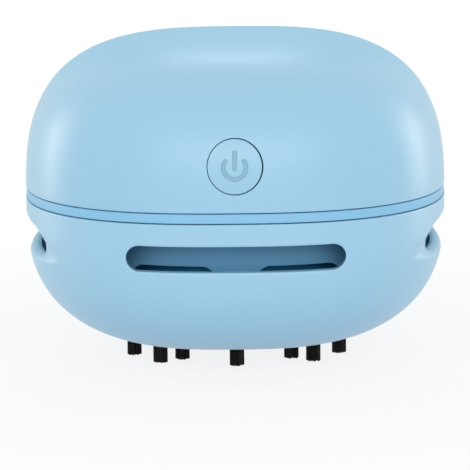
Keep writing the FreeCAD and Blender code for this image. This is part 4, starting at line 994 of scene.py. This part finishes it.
@dataclass
class BristleTufts:
    """Twelve tufts of cut nylon bristles. The real bristles are about 0.15 mm thick, too thin to
    show, so they are drawn at 0.3 mm."""

    tuft_radius: float = 1.475
    root: float = 7.6
    bristle_radius: float = 0.15
    spacing: float = 0.29
    tip_unevenness: float = 0.22
    splay: float = 0.07
    sides: int = 6
    stray: float = 0.04           # most that chance moves a tip aside
    kink: float = 0.3             # share of its lean that a bristle has at half height
    tip_share: float = 0.85       # radius of a tip, as a share of the bristle's
    first_seed: int = 100
    names: list[str] = field(default_factory=lambda: [f"tuft_outer_{i}" for i in range(1, 9)]
                             + [f"tuft_inner_{i}" for i in range(1, 5)])

    def roots(self, noise: np.random.Generator) -> np.ndarray:
        """Places of the bristles of one tuft, in rings that fill its hole.

        Args:
            noise: source of chance of the tuft.

        Returns:
            The places, from the middle of the hole.
        """
        reach = self.tuft_radius - self.bristle_radius
        rings = round(reach / self.spacing)
        places = [np.zeros((1, 2))]
        for ring in range(1, rings + 1):
            radius = reach * ring / rings
            count = int(2 * math.pi * radius / self.spacing)
            angles = noise.uniform(0, 2 * math.pi) + 2 * math.pi * np.arange(count) / count
            places.append(radius * np.stack([np.cos(angles), np.sin(angles)], axis=-1))
        return np.concatenate(places)

    def bristle(self, piece: MeshPiece, root: np.ndarray, tip: np.ndarray, twist: float) -> None:
        """Add one bristle that tapers slightly from root to tip.

        Args:
            piece: mesh that gets the bristle.
            root: place of its root.
            tip: place of its tip.
            twist: turn about its axis, in radians.
        """
        angles = twist + 2 * math.pi * np.arange(self.sides) / self.sides
        circle = points_at(np.cos(angles), np.sin(angles), 0.0)
        middle = (root + tip) / 2
        middle[:2] = root[:2] + (tip[:2] - root[:2]) * self.kink
        radii = (self.bristle_radius, self.bristle_radius, self.bristle_radius * self.tip_share)
        numbers = piece.rings([place + circle * radius
                               for place, radius in zip((root, middle, tip), radii)])
        piece.lid(numbers[-1])
        piece.lid(numbers[0][::-1])

    def build(self) -> None:
        """Make every tuft where its solid is."""
        for number, name in enumerate(self.names):
            noise = np.random.default_rng(self.first_seed + number)
            low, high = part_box(name)
            centre = np.array((low + high) / 2)[:2] / MM
            piece = MeshPiece()
            reach = self.tuft_radius - self.bristle_radius + self.splay
            for place in self.roots(noise):
                lean = place / self.tuft_radius * self.splay + noise.uniform(-self.stray, self.stray, 2)
                foot = place + lean
                foot *= min(1.0, reach / max(np.hypot(*foot), TINY))
                tip = noise.uniform(0.0, self.tip_unevenness)
                self.bristle(piece, np.array([*(centre + place), self.root]),
                             np.array([*(centre + foot), tip]), noise.uniform(0, math.pi))
            piece.build(name + "_bristles", "dust_cup", "bristle_black", (name,), (BRISTLE_NYLON,))


# ---- pieces that keep their solids

@dataclass
class InnerPieces:
    """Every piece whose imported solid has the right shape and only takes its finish."""

    finishes: dict[str, Finish] = field(default_factory=lambda: {
        "base_plate": CUP_ABS, "base_screws": ZINC_STEEL, "dust_tray": TRAY_PP,
        "cup_seal": SEAL_FOAM, "chassis": INNER_ABS, "chassis_screws": ZINC_STEEL,
        "fan_cover": FAN_ABS, "cover_screws": ZINC_STEEL, "filter_frame": TRAY_PP,
        "filter_pad": FILTER_FELT, "impeller": INNER_ABS, "motor_shaft": NICKEL_STEEL,
        "motor_can": NICKEL_STEEL, "motor_screws": ZINC_STEEL, "end_bell": BLACK_NYLON,
        "lower_bush": SINTERED_BRONZE, "upper_bush": SINTERED_BRONZE, "motor_magnets": GROUND_FERRITE,
        "rotor_core": STACKED_STEEL, "rotor_windings": ENAMELLED_COPPER, "commutator": ROLLED_BRASS,
        "motor_brushes": ROLLED_BRASS, "motor_terminals": ROLLED_BRASS, "battery_cell": SHRINK_SLEEVE,
        "switch_board": RESIST_LAMINATE, "key_switch": BLACK_NYLON, "switch_plunger": BLACK_NYLON,
        "switch_screws": ZINC_STEEL, "charge_board": RESIST_LAMINATE, "charge_screws": ZINC_STEEL,
        "charge_socket": NICKEL_STEEL})

    def build(self) -> None:
        """Give each solid its finish."""
        for name, finish in self.finishes.items():
            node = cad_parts[name]
            node.data.materials.clear()
            node.data.materials.append(finish.material())
            log.info("%s: %s", name, finish.name)


# ---- studio

@dataclass(frozen=True)
class Lamp:
    """Soft rectangular lamp that faces the object and doesn't show itself to the camera."""

    name: str
    azimuth: float                # degrees from the front, towards +X
    elevation: float              # degrees above the table
    distance: float               # metres from the object
    size: tuple[float, float]     # width and height, in metres
    watts: float
    colour: str = "ffffff"
    aim: tuple[float, float, float] = (0.0, 0.0, FORM.equator)
    spread: float = 180.0         # degrees over which its light fans out

    def build(self) -> None:
        """Hang the lamp in the scene."""
        data = bpy.data.lights.new(self.name, "AREA")
        data.color, data.spread = linear(self.colour)[:3], math.radians(self.spread)
        data.shape, data.size, data.size_y, data.energy = "RECTANGLE", *self.size, self.watts
        lamp = add_object(self.name, data)
        turn, tilt = math.radians(self.azimuth), math.radians(self.elevation)
        way = Vector((math.sin(turn) * math.cos(tilt), -math.cos(turn) * math.cos(tilt), math.sin(tilt)))
        lamp.location = Vector((0, 0, FORM.equator * MM)) + way * self.distance
        lamp.rotation_mode = "QUATERNION"
        lamp.rotation_quaternion = (Vector(self.aim) * MM - lamp.location).to_track_quat("-Z", "Y")
        lamp.visible_camera = False


# The two strips face the front corners with a narrow spread, which keeps their glare off the top.
LEFT_STRIP = Lamp("left_box", azimuth=-103, elevation=12, distance=0.21, size=(0.065, 0.2), watts=0.018,
                  colour="ffecd8", aim=(-38, -38, 56), spread=50)
LAMPS = (LEFT_STRIP,
         replace(LEFT_STRIP, name="right_box", azimuth=103, aim=(38, -38, 56)),
         Lamp("rear_box", azimuth=180, elevation=43, distance=0.6, size=(0.09, 0.02), watts=0.13),
         Lamp("key_box", azimuth=0, elevation=19, distance=0.9, size=(0.8, 0.25), watts=2.0))


def flat_sheet(name: str, corners: list[tuple[float, float, float]], material: Material) -> Object:
    """Add a flat four-cornered piece of the studio.

    Args:
        name: name of the sheet.
        corners: its corners, in metres.
        material: its material.

    Returns:
        The new object.
    """
    mesh = bpy.data.meshes.new(name)
    mesh.from_pydata(corners, [], [(0, 1, 2, 3)])
    mesh.materials.append(material)
    return add_object(name, mesh)


@dataclass
class Studio:
    """Pale floor, soft lamps and the camera. Its lengths are in metres."""

    lens: float = 221.7               # millimetres, as is the sensor
    sensor: float = 36.0
    nearest: float = 0.05
    farthest: float = 20.0
    distance: float = 0.600
    elevation: float = 10.0
    aim_drop: float = 0.72            # degrees that it looks below the middle
    roll: float = 0.59
    shift: float = -0.0015
    air_front: float = 0.96
    air_side: float = 0.20
    floor_half: float = 6.0
    floor_colour: str = "e8eef3"
    shine_start: float = 0.05         # how far out the floor begins to fade to plain white
    shine_end: float = 0.16
    shine_least: float = 0.86         # share of plain white under the object
    card_colour: str = "bce8fa"
    card_half: float = 0.3
    card_low: float = 0.02
    card_high: float = 0.9
    card_back: float = 0.8

    def seen_straight(self, tree: NodeTree) -> NodeSocket:
        """Tell the rays that show the surroundings from soft light.

        Args:
            tree: node tree that gets the nodes.

        Returns:
            Output that is 1 for rays from the camera, a mirror or a clear piece, and 0 for soft light.
        """
        rays = add_node(tree, "LightPath")
        mirrored = add_node(tree, "Math", {"operation": "MAXIMUM"}, None,
                            {0: rays.outputs["Is Glossy Ray"], 1: rays.outputs["Is Transmission Ray"]})
        return add_node(tree, "Math", {"operation": "MAXIMUM"}, None,
                        {0: rays.outputs["Is Camera Ray"], 1: mirrored.outputs[0]}).outputs[0]

    def world(self) -> None:
        """Soft white surroundings, dimmer at the two sides, and plain white where they are seen."""
        world = bpy.data.worlds.new("studio_air")
        bpy.context.scene.world = world
        tree = clear_tree(world)
        way = add_node(tree, "TexCoord").outputs["Generated"]
        split = add_node(tree, "SeparateXYZ", None, None, {0: way})
        aside = add_node(tree, "Math", {"operation": "MULTIPLY"}, None,
                         {0: split.outputs["X"], 1: split.outputs["X"]})
        level = add_node(tree, "MapRange", None, {"To Min": self.air_front, "To Max": self.air_side},
                         {"Value": aside.outputs[0]})
        strength = add_node(tree, "Mix", {"data_type": "FLOAT"}, {FLOAT_B: 1.0},
                            {FACTOR: self.seen_straight(tree), FLOAT_A: level.outputs["Result"]})
        shine = add_node(tree, "Background", None, {"Color": (1, 1, 1, 1)},
                         {"Strength": strength.outputs[0]})
        add_node(tree, "OutputWorld", None, None, {"Surface": shine.outputs["Background"]})

    def floor(self) -> None:
        """Pale seamless paper, which keeps the object's shadow and shines white far from it."""
        paper = bpy.data.materials.new("seamless_paper")
        tree = clear_tree(paper)
        place = add_node(tree, "TexCoord").outputs["Object"]
        grain = add_node(tree, "TexNoise", None, {"Scale": 900.0, "Detail": 2.0}, {"Vector": place})
        bump = add_node(tree, "Bump", None, {"Strength": 0.1, "Distance": 0.0001},
                        {"Height": grain.outputs["Fac"]})
        matt = add_node(tree, "BsdfDiffuse", None, {"Color": linear(self.floor_colour)},
                        {"Normal": bump.outputs["Normal"]})
        glow = add_node(tree, "Emission", None, {"Color": (1, 1, 1, 1), "Strength": 1.0})
        away = add_node(tree, "VectorMath", {"operation": "LENGTH"}, None, {0: place})
        fade = add_node(tree, "MapRange", {"interpolation_type": "SMOOTHSTEP"},
                        {"From Min": self.shine_start, "From Max": self.shine_end,
                         "To Min": self.shine_least, "To Max": 1.0}, {"Value": away.outputs["Value"]})
        seen = add_node(tree, "Math", {"operation": "MULTIPLY"}, None,
                        {0: self.seen_straight(tree), 1: fade.outputs["Result"]})
        both = add_node(tree, "MixShader", None, None,
                        {0: seen.outputs[0], 1: matt.outputs["BSDF"], 2: glow.outputs["Emission"]})
        add_node(tree, "OutputMaterial", None, None, {"Surface": both.outputs["Shader"]})
        half = self.floor_half
        corners = [(-half, -half, 0), (half, -half, 0), (half, half, 0), (-half, half, 0)]
        floor = flat_sheet("paper_floor", corners, paper)

    def card(self) -> None:
        """Pale blue card high behind the object. Only mirror images show it: it tones down the glare
        of the white surroundings along the top."""
        paper = bpy.data.materials.new("pale_blue_card")
        tree = clear_tree(paper)
        glow = add_node(tree, "Emission", None, {"Color": linear(self.card_colour), "Strength": 1.0})
        add_node(tree, "OutputMaterial", None, None, {"Surface": glow.outputs["Emission"]})
        half, low, high = self.card_half, self.card_low, self.card_high
        places = ((-half, low), (half, low), (half, high), (-half, high))
        card = flat_sheet("glare_card", [(x, self.card_back, z) for x, z in places], paper)
        card.visible_camera = card.visible_diffuse = False
        card.visible_shadow = card.visible_transmission = False

    def camera(self) -> None:
        """Long lens, a little above the object, with a slight roll."""
        data = bpy.data.cameras.new("camera")
        data.lens, data.sensor_width, data.shift_x = self.lens, self.sensor, self.shift
        data.clip_start, data.clip_end = self.nearest, self.farthest
        camera = add_object("camera", data)
        tilt = math.radians(self.elevation)
        middle = Vector((0, 0, FORM.equator * MM))
        back = Vector((0, -math.cos(tilt), math.sin(tilt)))
        camera.location = middle + back * self.distance
        aim = math.radians(90 - self.elevation - self.aim_drop)
        turn = Matrix.Rotation(aim, 4, "X") @ Matrix.Rotation(math.radians(-self.roll), 4, "Z")
        camera.rotation_euler = turn.to_euler()
        bpy.context.scene.camera = camera

    def build(self) -> None:
        """Set up surroundings, floor, card, lamps and camera."""
        self.world()
        self.floor()
        self.card()
        for lamp in LAMPS:
            lamp.build()
        self.camera()
        bpy.context.scene.view_settings.view_transform = "Standard"


def main() -> None:
    """Build every piece in order and report it."""
    logging.basicConfig(level=logging.INFO, format="%(message)s")
    for part in (Studio(), DustCup(), UpperCasing(), TrimBand(), PushButton(), BristleTufts(), InnerPieces()):
        part.build()


if __name__ == "__main__":
    main()
